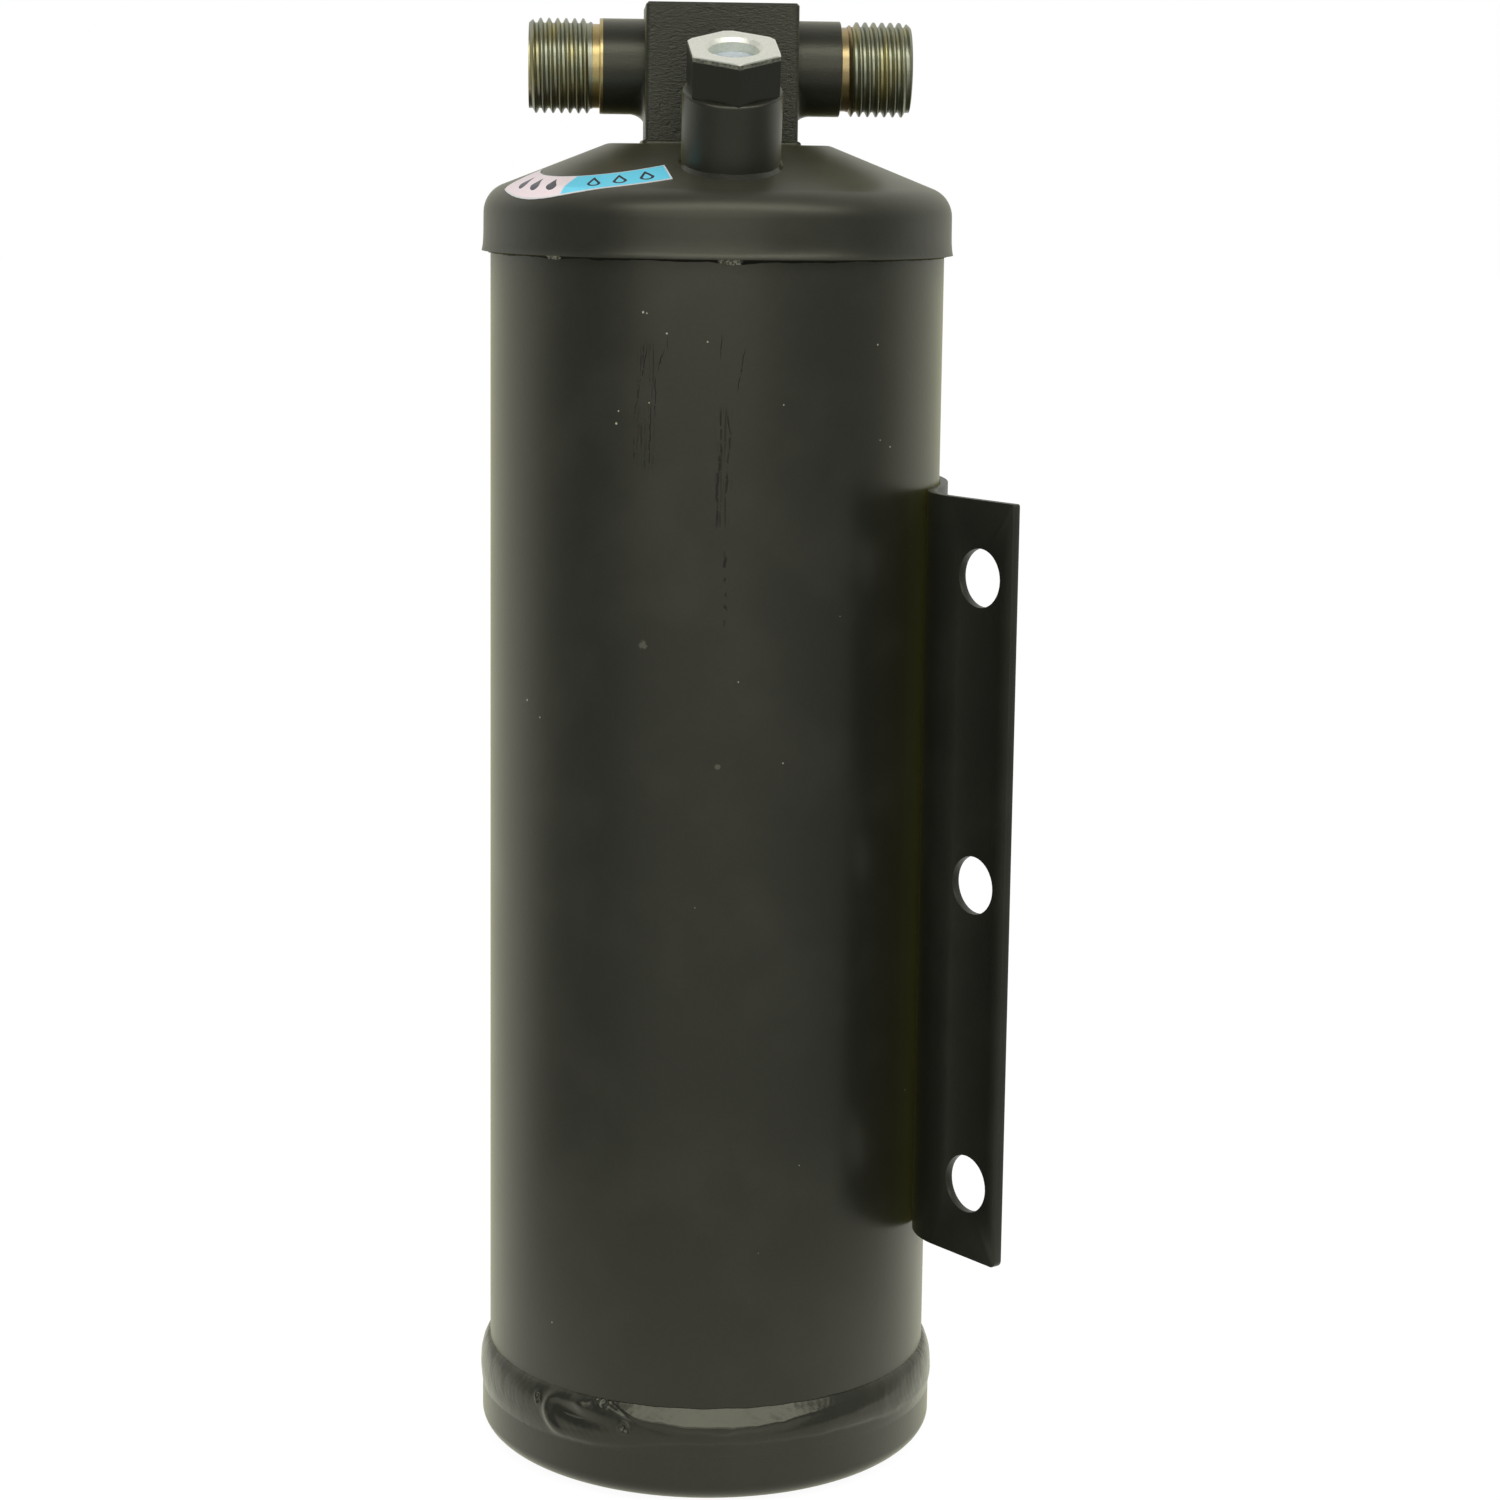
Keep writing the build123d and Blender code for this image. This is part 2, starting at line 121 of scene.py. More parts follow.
class FittingSettings(bpy.types.PropertyGroup):
    """The two turned fittings."""

    pitch: length_setting("Thread pitch", "18 threads to the inch", 25.4 / 18, 0.2, 5)
    depth: length_setting("Thread depth", "From crest to root", 0.80, 0.1, 3)
    thread_length: length_setting("Thread length", "Threaded stretch", 10.55, 2, 30)
    neck_length: length_setting("Neck length", "Plain groove behind the thread", 1.15, 0.2, 10)
    steps: IntProperty(
        name="Steps per turn", description="Facets round the thread", default=96, min=12, max=360
    )


class WeldSettings(bpy.types.PropertyGroup):
    """The ring weld round the bottom."""

    overlap_angle: FloatProperty(
        name="Overlap angle", description="Where the weld ends on its own start, from the front",
        subtype="ANGLE", unit="ROTATION", default=radians(-46), min=-pi, max=pi,
    )
    overlap_height: length_setting("Overlap height", "How proud the weld's end stands", 0.7, 0, 3)
    ripple: length_setting("Ripple height", "Height of the bead's ripples", 0.007, 0, 1)
    ripple_pitch: length_setting("Ripple pitch", "From one ripple to the next", 1.5, 0.2, 10)


class LabelSettings(bpy.types.PropertyGroup):
    """The moisture label on the cone."""

    wet: colour_setting("Wet colour", "Pale pink field", (0.98, 0.82, 0.83))
    dry: colour_setting("Dry colour", "Sky blue field", (0.16, 0.74, 0.95))
    ink: colour_setting("Ink colour", "Print on the label", (0.02, 0.02, 0.03))


class StageSettings(bpy.types.PropertyGroup):
    """Camera, floor and lamps."""

    lens: level_setting("Focal length", "On a 36 mm sensor, in millimetres", 77.987, 10, 300)
    floor_size: level_setting("Floor size", "Side of the floor, in metres", 12.0, 1, 50)
    floor_white: level_setting("Floor white", "How much of the floor's white is its own", 0.84)
    floor_front: level_setting("Floor in front", "White that reflections see in front", 0.42)
    floor_side: level_setting("Floor beside", "White that reflections see beside it", 0.22)
    left_level: level_setting("Left side", "Light of the surround on the left", 0.24, high=3)
    right_level: level_setting("Right side", "Light of the surround on the right", 0.40, high=3)
    ceiling_level: level_setting("Ceiling", "Light of the surround above and behind", 0.80, high=3)
    overhead_power: level_setting("Overhead lamp", "Watts of the soft lamp overhead", 9.9, high=100)
    front_power: level_setting("Front lamp", "Watts of the lamp behind the camera", 5.0, high=100)


class Nodes:
    """A node tree with short ways to add and link nodes."""

    def __init__(self, tree):
        self.tree = tree
        self.coordinates = self.add("ShaderNodeTexCoord").outputs
        self.place = self.coordinates["Object"]

    def add(self, kind, **options):
        node = self.tree.nodes.new(kind)
        for option, value in options.items():
            setattr(node, option, value)
        return node

    def feed(self, socket, value):
        """Links a socket to an output, or sets its value."""
        if isinstance(value, bpy.types.NodeSocket):
            self.tree.links.new(value, socket)
        elif hasattr(value, "__len__") and len(value) == 3 and socket.type == "RGBA":
            socket.default_value = (*value, 1)
        else:
            socket.default_value = value

    def fed(self, kind, values, **options):
        """Adds a node and feeds its inputs by name or number."""
        node = self.add(kind, **options)
        for name, value in values.items():
            self.feed(node.inputs[name], value)
        return node.outputs

    def maths(self, operation, first, second=0.0, clamp=False):
        values = {0: first, 1: second}
        return self.fed("ShaderNodeMath", values, operation=operation, use_clamp=clamp)[0]

    plus = partialmethod(maths, "ADD")
    minus = partialmethod(maths, "SUBTRACT")
    times = partialmethod(maths, "MULTIPLY")
    most = partialmethod(maths, "MAXIMUM")
    below = partialmethod(maths, "LESS_THAN")
    above = partialmethod(maths, "GREATER_THAN")
    square = partialmethod(maths, "POWER", second=2.0)
    absolute = partialmethod(maths, "ABSOLUTE")

    def toward(self, value, goal, share):
        """The value moved by a share of its way to a goal."""
        return self.plus(value, self.times(share, self.minus(goal, value)))

    def vector(self, operation, first, second=(0, 0, 0)):
        outputs = self.fed("ShaderNodeVectorMath", {0: first, 1: second}, operation=operation)
        is_number = operation in ("DISTANCE", "DOT_PRODUCT", "LENGTH")
        return outputs["Value" if is_number else "Vector"]

    def split(self, value=None):
        """The X, Y and Z of a vector, or of the place."""
        return tuple(self.fed("ShaderNodeSeparateXYZ", {0: value or self.place}))

    def fade(self, value, start, end, low=0.0, high=1.0):
        """Low at start and high at end, smooth between; start may be the larger."""
        if start > end:
            start, end, low, high = end, start, high, low
        values = {"Value": value, "From Min": start, "From Max": end, "To Min": low, "To Max": high}
        return self.fed("ShaderNodeMapRange", values, interpolation_type="SMOOTHSTEP")["Result"]

    def between(self, factor, low, high):
        """A number that goes from low to high with factor."""
        values = {"Value": factor, "To Min": low, "To Max": high}
        return self.fed("ShaderNodeMapRange", values)["Result"]

    def mapped(self, scale):
        return self.fed("ShaderNodeMapping", {"Vector": self.place, "Scale": scale})["Vector"]

    def noise(self, size, detail=3.0, roughness=0.5, source=None, distortion=0.0):
        """Noise whose blobs are about size mm across, from 0 to 1."""
        values = {
            "Vector": source or self.place, "Scale": 1 / (size * MM), "Detail": detail,
            "Roughness": roughness, "Distortion": distortion,
        }
        return self.fed("ShaderNodeTexNoise", values)["Fac"]

    def cells(self, size):
        """Outputs of a pattern of cells about size mm across."""
        return self.fed("ShaderNodeTexVoronoi", {"Vector": self.place, "Scale": 1 / (size * MM)})

    def mix(self, factor, first, second):
        node = self.add("ShaderNodeMix", data_type="RGBA")
        colours = [socket for socket in node.inputs if socket.type == "RGBA"]
        for socket, value in zip((node.inputs[0], *colours), (factor, first, second)):
            self.feed(socket, value)
        return next(socket for socket in node.outputs if socket.type == "RGBA")

    def bump(self, height, depth, normal=None):
        """Bump of depth mm."""
        values = {"Height": height, "Distance": depth * MM}
        if normal:
            values["Normal"] = normal
        return self.fed("ShaderNodeBump", values)["Normal"]

    def speckle(self, cell, radius, share):
        """Sparse round specks, 1 on a speck: one cell in each share."""
        cells = self.cells(cell)
        chance = self.fed("ShaderNodeSeparateColor", {"Color": cells["Color"]})[0]
        near = self.below(cells["Distance"], radius / cell)
        return self.times(near, self.below(chance, share))


class MaterialNodes(Nodes):
    """The nodes of a new material."""

    def __init__(self, name):
        self.material = bpy.data.materials.new(name)
        self.material.use_nodes = True
        super().__init__(self.material.node_tree)
        self.shader = self.tree.nodes["Principled BSDF"]

    def finish(self, **values):
        for name, value in values.items():
            self.feed(self.shader.inputs[name.replace("_", " ")], value)
        return self.material


def paint_material(name, peel_depth=0.010, grain=0.0, gloss=0.0, marks=None, haze=1.0):
    """Black paint with fine waves, thin places and dust specks; marks gives its lines and spots."""
    line_colour, line_shine = (0.003, 0.003, 0.003), (0.22, 0.22, 0.17)
    spot_colour, speck_colour = (0.36, 0.35, 0.26), (0.30, 0.30, 0.25)
    paint = bpy.context.scene.drier_paint
    nodes = MaterialNodes(name)
    blotch = nodes.noise(14, detail=4)
    thin = nodes.times(nodes.fade(blotch, 0.42, 0.72), 0.22)
    fine = nodes.times(nodes.fade(nodes.noise(0.45, detail=2), 0.35, 0.8), 0.12)
    colour = nodes.mix(nodes.plus(thin, fine), tuple(paint.colour), tuple(paint.worn))
    rough = nodes.between(blotch, paint.roughness - gloss - 0.04, paint.roughness - gloss + 0.06)
    normal = nodes.bump(nodes.noise(paint.peel / MM, detail=1.5), peel_depth)
    if grain:
        across = nodes.mapped((1, 1, 2.6))
        scale = nodes.noise(0.9, detail=5, roughness=0.62, source=across, distortion=0.4)
        pits = nodes.fade(nodes.noise(1.3, detail=3), 0.60, 0.72)
        normal = nodes.bump(nodes.minus(scale, nodes.times(pits, 0.35)), grain, normal)
    shine = tuple(paint.shine)
    if marks:
        # Lines darken and roughen the paint: scratches on the tube, and painted shade under the cap's
        # rim.
        lines, spots = marks(nodes)
        # Spots lighten the paint: smudges and chips on the tube, crumbs on the braze, pale scuffs on the
        # bracket, and painted light on the cap's cone.
        colour = nodes.mix(spots, nodes.mix(lines, colour, line_colour), spot_colour)
        rough = nodes.plus(rough, nodes.times(lines, 0.40))
        shine = nodes.mix(lines, shine, line_shine)
        normal = nodes.bump(nodes.times(lines, -1.0), 0.03, normal)
    specks = nodes.speckle(3.5, 0.10, 0.045)
    colour = nodes.mix(nodes.times(specks, 0.55), colour, speck_colour)
    return nodes.finish(
        Base_Color=colour, Roughness=rough, Normal=normal, IOR=1.58, Specular_Tint=shine,
        Sheen_Weight=paint.sheen * haze, Sheen_Roughness=0.35, Sheen_Tint=(1.0, 1.0, 0.25),
    )


def cone_painted_light(nodes):
    """No lines, and painted light on the cap's cone: a thin, even, paler tone near the cap's top."""
    high = nodes.fade(nodes.split()[2], cap_high.z - 12 * MM, cap_high.z - 7 * MM)
    return 0.0, nodes.times(high, nodes.between(nodes.noise(6, detail=4), 0.03, 0.08))


SCRATCHES = (
    # across from the front and height, at the top and at the foot, then half width, all in mm
    (-12.4, 193.0, -14.9, 180.2, 0.13),
    (-13.3, 192.0, -14.4, 183.0, 0.10),
    (-9.4, 194.4, -9.2, 191.0, 0.12),
    (-9.6, 192.5, -11.2, 187.6, 0.16),
    (-11.1, 188.2, -11.3, 180.6, 0.15),
    (-11.9, 184.0, -12.2, 172.0, 0.14),
    (-14.9, 178.6, -14.6, 173.4, 0.13),
    (-0.7, 195.0, -0.9, 190.0, 0.12),
    (3.3, 193.0, 1.6, 184.6, 0.13),
    (-0.6, 183.4, -0.7, 171.8, 0.22),
    (0.2, 183.0, 1.3, 176.4, 0.16),
    (1.3, 180.0, 0.2, 172.6, 0.18),
    (-0.6, 177.6, -1.3, 166.6, 0.34),
    (0.5, 173.6, 0.3, 168.2, 0.18),
    (-1.4, 168.4, -1.0, 163.0, 0.26),
)
RUBBED = ((-0.2, 184.0, -0.5, 163.0, 1.7), (-12.6, 194.0, -13.0, 172.0, 2.2))
DOTTED = (0.2, 160.6, 0.4, 146.5, 0.38)
SPOTS = (
    # across from the front, height and radius in mm: two smudges, then chips
    (-12.9, 144.6, 1.3), (-0.7, 125.2, 0.8),
    (-13.3, 197.6, 0.34), (-12.7, 197.5, 0.26), (-9.4, 194.4, 0.30), (-2.9, 193.2, 0.34),
    (-12.2, 183.4, 0.30), (-17.8, 179.9, 0.42), (-17.4, 181.9, 0.26), (9.4, 183.3, 0.26),
    (10.1, 125.6, 0.24), (27.0, 192.5, 0.34), (30.4, 175.9, 0.34), (-37.0, 133.2, 0.36),
    (27.9, 177.1, 0.24), (39.0, 66.2, 0.34), (-30.0, 28.0, 0.24), (2.6, 139.0, 0.20),
    (-33.4, 130.8, 0.26), (-4.0, 102.0, 0.18), (14.0, 58.0, 0.2), (20.0, 149.0, 0.18),
)


def scratch(nodes, across, along, line):
    """1 on a thin line down the tube's wall."""
    top_x, top_z, foot_x, foot_z, half_width = (size * MM for size in line)
    slope = (foot_x - top_x) / (foot_z - top_z)
    middle = nodes.times(nodes.minus(along, top_z), slope)
    off = nodes.absolute(nodes.minus(nodes.minus(across, middle), top_x))
    foot = nodes.fade(along, foot_z, foot_z + 2 * MM)
    tall = nodes.times(foot, nodes.fade(along, top_z, top_z - 2 * MM))
    return nodes.times(nodes.fade(off, half_width, half_width * 0.3), tall)


def tube_marks(nodes):
    """Scratches, and smudges and chips, on the front of the tube."""
    x, y, along = nodes.split()
    across = nodes.times(nodes.maths("ARCTAN2", x, nodes.times(y, -1)), TUBE_R)
    wall = nodes.fed("ShaderNodeCombineXYZ", {0: across, 1: along})[0]
    bend = nodes.minus(nodes.noise(2.4, detail=3), 0.5)
    wavering = nodes.plus(across, nodes.times(bend, 1.0 * MM))
    broken = nodes.fade(nodes.noise(1.0, detail=4, roughness=0.7), 0.34, 0.48)
    grooves = nodes.noise(0.35, detail=3, source=nodes.mapped((1, 1, 0.05)))
    grooves = nodes.fade(grooves, 0.50, 0.62)
    lines = 0.0
    for line in RUBBED:
        patch = nodes.times(scratch(nodes, wavering, along, line), grooves)
        lines = nodes.most(lines, nodes.times(patch, 0.7))
    for line in SCRATCHES:
        lines = nodes.most(lines, scratch(nodes, wavering, along, line))
    dots = nodes.fade(nodes.noise(1.3, detail=2), 0.50, 0.60)
    dotted = nodes.times(scratch(nodes, wavering, along, DOTTED), dots)
    lines = nodes.most(nodes.times(lines, broken), dotted)
    spots = 0.0
    for centre, height, size in SPOTS:
        near = nodes.vector("DISTANCE", wall, (centre * MM, height * MM, 0))
        ragged = nodes.plus(near, nodes.times(nodes.noise(0.7), size * MM))
        spot = nodes.fade(ragged, size * MM * 1.15, size * MM * 0.80)
        strength = 0.15 if size > 0.5 else 1.0
        spots = nodes.most(spots, nodes.times(spot, strength))
    return nodes.times(lines, 0.62), spots


def zinc_material(name, colour, yellow, roughness, share=0.5, banded=1.0):
    """Plated steel that turns yellow in places; banded squeezes the yellow into rings about X."""
    nodes = MaterialNodes(name)
    stain = nodes.noise(5, detail=4, roughness=0.55, source=nodes.mapped((banded, 0.6, 0.6)))
    fine = nodes.noise(0.25, detail=2)
    shade = nodes.mix(nodes.fade(stain, 0.60 - share * 0.3, 0.90 - share * 0.3), colour, yellow)
    dark = tuple(part * 0.55 for part in colour)
    shade = nodes.mix(nodes.times(nodes.fade(fine, 0.55, 0.8), 0.30), shade, dark)
    rough = nodes.between(fine, roughness - 0.08, roughness + 0.10)
    normal = nodes.bump(fine, 0.008)
    return nodes.finish(Base_Color=shade, Roughness=rough, Normal=normal, Metallic=1.0)


def glass_material():
    nodes = MaterialNodes("lens_glass")
    return nodes.finish(
        Base_Color=(0.80, 0.90, 0.97), Roughness=nodes.between(nodes.noise(2), 0.03, 0.08),
        Transmission_Weight=0.45, IOR=1.5,
    )


def plain_material(name, colour, roughness, grain_size, grain_depth, metal=0.0, spread=0.3):
    """A plain finish with grain in its colour and its surface."""
    nodes = MaterialNodes(name)
    grain = nodes.noise(grain_size, detail=4, roughness=0.6)
    dark = tuple(part * (1 - spread) for part in colour)
    shade = nodes.mix(nodes.fade(grain, 0.35, 0.70), dark, colour)
    rough = nodes.between(grain, roughness - 0.08, min(roughness + 0.08, 1))
    return nodes.finish(
        Base_Color=shade, Roughness=rough, Normal=nodes.bump(grain, grain_depth), Metallic=metal
    )


def dress(name, material):
    """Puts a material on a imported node."""
    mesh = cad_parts[name].data
    mesh.materials.clear()
    mesh.materials.append(material)


def add_object(name, data):
    thing = bpy.data.objects.new(name, data)
    bpy.context.scene.collection.objects.link(thing)
    return thing


def add_mesh(name, mesh, materials):
    data = bpy.data.meshes.new(name)
    mesh.to_mesh(data)
    mesh.free()
    for material in materials:
        data.materials.append(material)
    return add_object(name, data)


def show(name, mesh, materials, node, smooth=35):
    """Makes a piece from its mesh, smooth below an angle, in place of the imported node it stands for."""
    piece = add_mesh(name, mesh, materials)
    piece.data.shade_smooth()
    piece.data.set_sharp_from_angle(angle=radians(smooth))
    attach(piece, "root")
    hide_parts(node)


def spin(mesh, points, axis, steps, turns=1, pitch=0.0, closed=False):
    """Spins an outline round an axis through the origin, pitch metres along it in each turn."""
    corners = [mesh.verts.new(point) for point in points]
    edges = [mesh.edges.new(pair) for pair in zip(corners, corners[1:])]
    if closed:
        edges.append(mesh.edges.new((corners[-1], corners[0])))
    bmesh.ops.spin(
        mesh, geom=corners + edges, cent=(0, 0, 0), axis=axis, dvec=axis * (pitch / steps),
        angle=2 * pi * turns, steps=steps * turns, use_merge=not pitch,
        use_normal_flip=False, use_duplicate=False,
    )


def face_outwards(mesh):
    bmesh.ops.recalc_face_normals(mesh, faces=mesh.faces)


def join(mesh, distance=2e-6):
    """Merges corners that lie on each other and turns the faces outwards."""
    bmesh.ops.remove_doubles(mesh, verts=mesh.verts, dist=distance)
    face_outwards(mesh)


def lathe(points, steps):
    """A closed ring: an outline spun once round Z."""
    mesh = bmesh.new()
    spin(mesh, points, UP, steps, closed=True)
    join(mesh, 1e-6)
    return mesh


def cut(mesh, place, outwards, clear=False):
    """Cuts the faces at a plane, and clears what lies outside it if asked."""
    bmesh.ops.bisect_plane(
        mesh, geom=mesh.verts[:] + mesh.edges[:] + mesh.faces[:], dist=1e-7,
        plane_co=place, plane_no=outwards, clear_outer=clear,
    )


def ring_of_rows(rows):
    """A closed ring through closed outlines, each joined to the next."""
    mesh = bmesh.new()
    rows = [[mesh.verts.new(point) for point in row] for row in rows]
    for row, following in zip(rows, rows[1:] + rows[:1]):
        for first in range(len(row)):
            second = (first + 1) % len(row)
            mesh.faces.new((row[first], row[second], following[second], following[first]))
    face_outwards(mesh)
    return mesh


def turn_to_side(mesh, side):
    """Turns a mesh built on the outlet's side to the inlet's, on side -1."""
    if side < 0:
        half_turn = Matrix.Rotation(pi, 3, "Z")
        bmesh.ops.rotate(mesh, cent=(0, 0, 0), matrix=half_turn, verts=mesh.verts)


def packed_copy(name):
    """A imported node's mesh with its split corners joined, to reshape."""
    mesh = bmesh.new()
    mesh.from_mesh(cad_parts[name].data)
    bmesh.ops.remove_doubles(mesh, verts=mesh.verts, dist=1e-6)
    return mesh


def packed_skin(name):
    """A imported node's surface, to cast rays at."""
    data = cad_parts[name].data
    corners = [corner.co for corner in data.vertices]
    return BVHTree.FromPolygons(corners, [face.vertices[:] for face in data.polygons])


def arc(centre, radius, start, end, count):
    """Points along a round stretch of an outline, as (across, along) pairs."""
    turns = (start + (end - start) * step / count for step in range(count + 1))
    return [(centre[0] + radius * cos(turn), centre[1] + radius * sin(turn)) for turn in turns]


def wobble(place, size, seed=0.0):
    """Smooth noise from -1 to 1 at a point, with blobs about size across."""
    return noise.noise(Vector(place) / size + Vector((seed, seed, seed)))


def bell(value, width):
    """1 at 0, fading to 0 past width."""
    return exp(-((value / width) ** 2))


def rise(value, low, high):
    """0 below low and 1 above high, smooth between."""
    share = min(1, max(0, (value - low) / (high - low)))
    return share * share * (3 - 2 * share)


def front_turn(place):
    """Angle round the canister from the front, positive towards the outlet."""
    return atan2(place.x, -place.y)


def box_limit(turn):
    """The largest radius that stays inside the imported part's box at this angle from the front."""
    low, high = cad_box
    sides = ((-low.x, -sin(turn)), (-low.y, cos(turn)), (high.y, -cos(turn)))
    return min(room / max(share, 0.001) for room, share in sides) - 0.01 * MM


class DRIER_OT_canister(bpy.types.Operator):
    """Paint the canister, round its cup's foot closer and flare the skirt of its top cap"""

    bl_idname = "drier.canister"
    bl_label = "Canister"

    def execute(self, context):
        dress("canister_tube", paint_material("tube_paint", marks=tube_marks))
        cup_paint = paint_material("cup_paint", peel_depth=0.014)
        show("cup_shell", cup_mesh(), [cup_paint], "bottom_cup", smooth=40)
        # The cap's cone is lightened a little as painted light.
        cap_paint = paint_material("cap_paint", gloss=-0.05, marks=cone_painted_light, haze=0.4)
        show("cap_shell", cap_mesh(), [cap_paint], "top_cap", smooth=40)
        return {"FINISHED"}


def cup_mesh():
    """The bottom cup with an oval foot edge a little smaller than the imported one's."""
    packed_width, packed_height = 8.5 * MM, 4.9 * MM
    width, height = 7.0 * MM, 4.0 * MM
    mesh = packed_copy("bottom_cup")
    for corner in mesh.verts:
        radius = hypot(corner.co.x, corner.co.y)
        across = (radius - CUP_R + packed_width) / packed_width
        down = (packed_height - corner.co.z) / packed_height
        if across > -0.01 and down > -0.01 and abs(hypot(across, down) - 1) < 0.02:
            turn = atan2(max(0, down), max(0, across))
            reshaped = (CUP_R - width + width * cos(turn)) / radius
            corner.co = (
                corner.co.x * reshaped, corner.co.y * reshaped, height - height * sin(turn)
            )
    return mesh


def cap_mesh():
    """The top cap with its skirt flared out over the last millimetres, most in front."""
    skirt_heights = (0.15, 0.3, 0.5, 0.7, 0.95, 1.25, 1.6, 2.0, 2.6, 3.4)
    skirt_wall = 0.6 * MM
    mesh = packed_copy("top_cap")
    for height in skirt_heights:
        cut(mesh, (0, 0, cap_low.z + height * MM), UP)
    for corner in mesh.verts:
        radius = hypot(corner.co.x, corner.co.y)
        height = (corner.co.z - cap_low.z) / MM
        if radius > TUBE_R + skirt_wall and height < skirt_heights[-1] + 0.01:
            ahead = max(0, -corner.co.y / radius) ** 2
            flare = (0.20 + 0.42 * ahead) * exp(-height / 0.90)
            flare += (0.13 + 0.05 * ahead) * exp(-height / 1.6)
            flare += 0.03 * wobble(corner.co, 9 * MM) * (1 - height / skirt_heights[-1])
            flared = cap_high.x + (flare - 0.25) * MM
            flared = min(flared, box_limit(front_turn(corner.co)))
            corner.co.x *= flared / radius
            corner.co.y *= flared / radius
    return mesh


class DRIER_OT_bottom_weld(bpy.types.Operator):
    """Lay the ring weld with its flat stretch and the tongue where it ends on its own start"""

    bl_idname = "drier.bottom_weld"
    bl_label = "Bottom weld"

    def execute(self, context):
        weld = context.scene.drier_weld
        rows = 36
        sunk = 0.2 * MM
        tall = bead_high.z - bead_low.z
        outline = [(TUBE_R, 0, bead_high.z - tall * row / rows) for row in range(rows + 1)]
        mesh = lathe(outline + [(TUBE_R - sunk, 0, cup_high.z)], 1080)
        for corner in mesh.verts:
            if hypot(corner.co.x, corner.co.y) < TUBE_R - sunk / 2:
                continue
            turn = front_turn(corner.co)
            along = turn * CUP_R / MM
            fall = (bead_high.z - corner.co.z) / MM
            radius = min(weld_radius(weld, along, fall, tall / MM) * MM, box_limit(turn))
            edge = 0.14 * wobble((along, 0, 0), 4) + 0.05 * wobble((along, 0, 0), 0.9, 2.0) - 0.2
            corner.co.z += edge * MM * max(0, 1 - fall / 3)
            corner.co.x = radius * sin(turn)
            corner.co.y = -radius * cos(turn)
        paint = paint_material("weld_paint", peel_depth=0.02, gloss=0.07)
        show("ring_weld", mesh, [paint], "bottom_weld_bead", smooth=70)
        return {"FINISHED"}


WAIST = 3.35  # mm from the weld's top down to its tongue's nose
PITS = (
    # round from the front, down from the weld's top and radius, in mm
    (-19.3, 0.45, 0.40), (-20.6, 0.30, 0.26), (-33.2, 2.3, 0.30), (-32.9, 3.1, 0.26),
    (-15.3, 3.9, 0.40), (-14.6, 4.3, 0.26),
)


def weld_radius(weld, along, fall, tall):
    """The bead's radius where along runs round it from the front and fall down from its top, in mm."""
    past_nose = along - weld.overlap_angle * CUP_R / MM
    belly = 5.4 + 1.7 * bell(past_nose - 7, 9)

    def plain(depth):
        return plain_bead(depth, belly, tall)

    # Below its foot the front of the bead runs out on the cup
    front = 1 - rise(abs(along), 26, 46)
    foot = 5.6 + 2.1 * (1 - rise(along, -21, -5))
    foot += 0.14 * wobble((along, 0, 0), 4, 7.0) + 1.2 * (1 - front)
    below = rise(fall, foot - 0.20, foot + 0.6 + 0.9 * (1 - front))
    radius = plain(fall)
    radius += (CUP_R / MM + 0.03 - radius) * below * front * 0.8

    lasting = 1 - rise(along, 20, 62)
    radius += weld.overlap_height / MM * tongue_rise(past_nose, fall, foot, lasting)
    flat, share, groove = flat_stretch(along, fall, plain)
    radius += (flat - radius) * share - groove

    # Streaks on the flat stretch, then grain, arrow-shaped ripples and pits
    grain = 0.018 * wobble((fall - 0.45 * along, along * 0.18, 0), 0.55, 9.0) * share
    grain += 0.05 * wobble((along, fall, 0), 2.6) + 0.010 * wobble((along * 0.8, fall, 0), 0.9, 5.0)
    arrow = along - (fall - WAIST) ** 2 / 5 + 0.9 * wobble((along, 0, 0), 5, 3.0)
    grain += weld.ripple / MM * sin(2 * pi * arrow * MM / weld.ripple_pitch)
    radius += grain * rise(fall, 0, 0.8) * (1 - rise(fall, foot, foot + 1))
    for pit_along, pit_fall, size in PITS:
        gap = hypot(along - pit_along, fall - pit_fall)
        radius += 0.12 * bell(gap - 2.0 * size, 0.25) - 0.45 * bell(gap, size)
    return max(radius, TUBE_R / MM + 0.004)


def plain_bead(depth, belly, tall):
    """The plain bead's radius in mm: out from the tube to its belly, then in to the cup."""
    tube_r, cup_r, bead_r = TUBE_R / MM, CUP_R / MM, bead_high.x / MM
    if depth < belly:
        return tube_r + (bead_r - tube_r) * (1 - (1 - max(0, depth) / belly) ** 2.2) ** 0.65
    return cup_r + (bead_r - cup_r) * cos(pi / 2 * (depth - belly) / (tall - belly))


def tongue_rise(past_nose, fall, foot, lasting):
    """The tongue's height as a share: a round ridge at its edge, a hollow and a lump behind it."""
    round_in = 5.3
    half = WAIST + 1.0 if fall < WAIST else max(1, foot - WAIST)
    reach = hypot(min(0, past_nose - round_in) / round_in, (fall - WAIST) / half)
    inwards = (1 - reach) * 4.4
    tongue = 1 - rise(past_nose, 8, 19)
    ridge = bell(inwards - 0.80, 0.85) * (0.30 + 0.70 * tongue)
    if fall < WAIST:
        ridge *= 1 - 0.55 * rise(past_nose, 3, 7)
    low_arm = rise(fall, 3.5, 5.5) * rise(past_nose, 2, 6)
    proud = (0.75 - 0.45 * low_arm) * ridge + 0.25 * rise(inwards, 0.4, 2.4) * lasting
    hollow = bell(past_nose - 6.8, 4.6) * bell(fall - 2.8 - 0.15 * (past_nose - 4), 1.3)
    lump = bell(past_nose - 7.4 - 0.35 * fall, 1.5) * bell(fall - 1.3, 1.6)
    return proud * rise(fall, -0.2, 1.7) - 0.65 * hollow + 0.70 * lump * rise(fall, -0.3, 0.9)


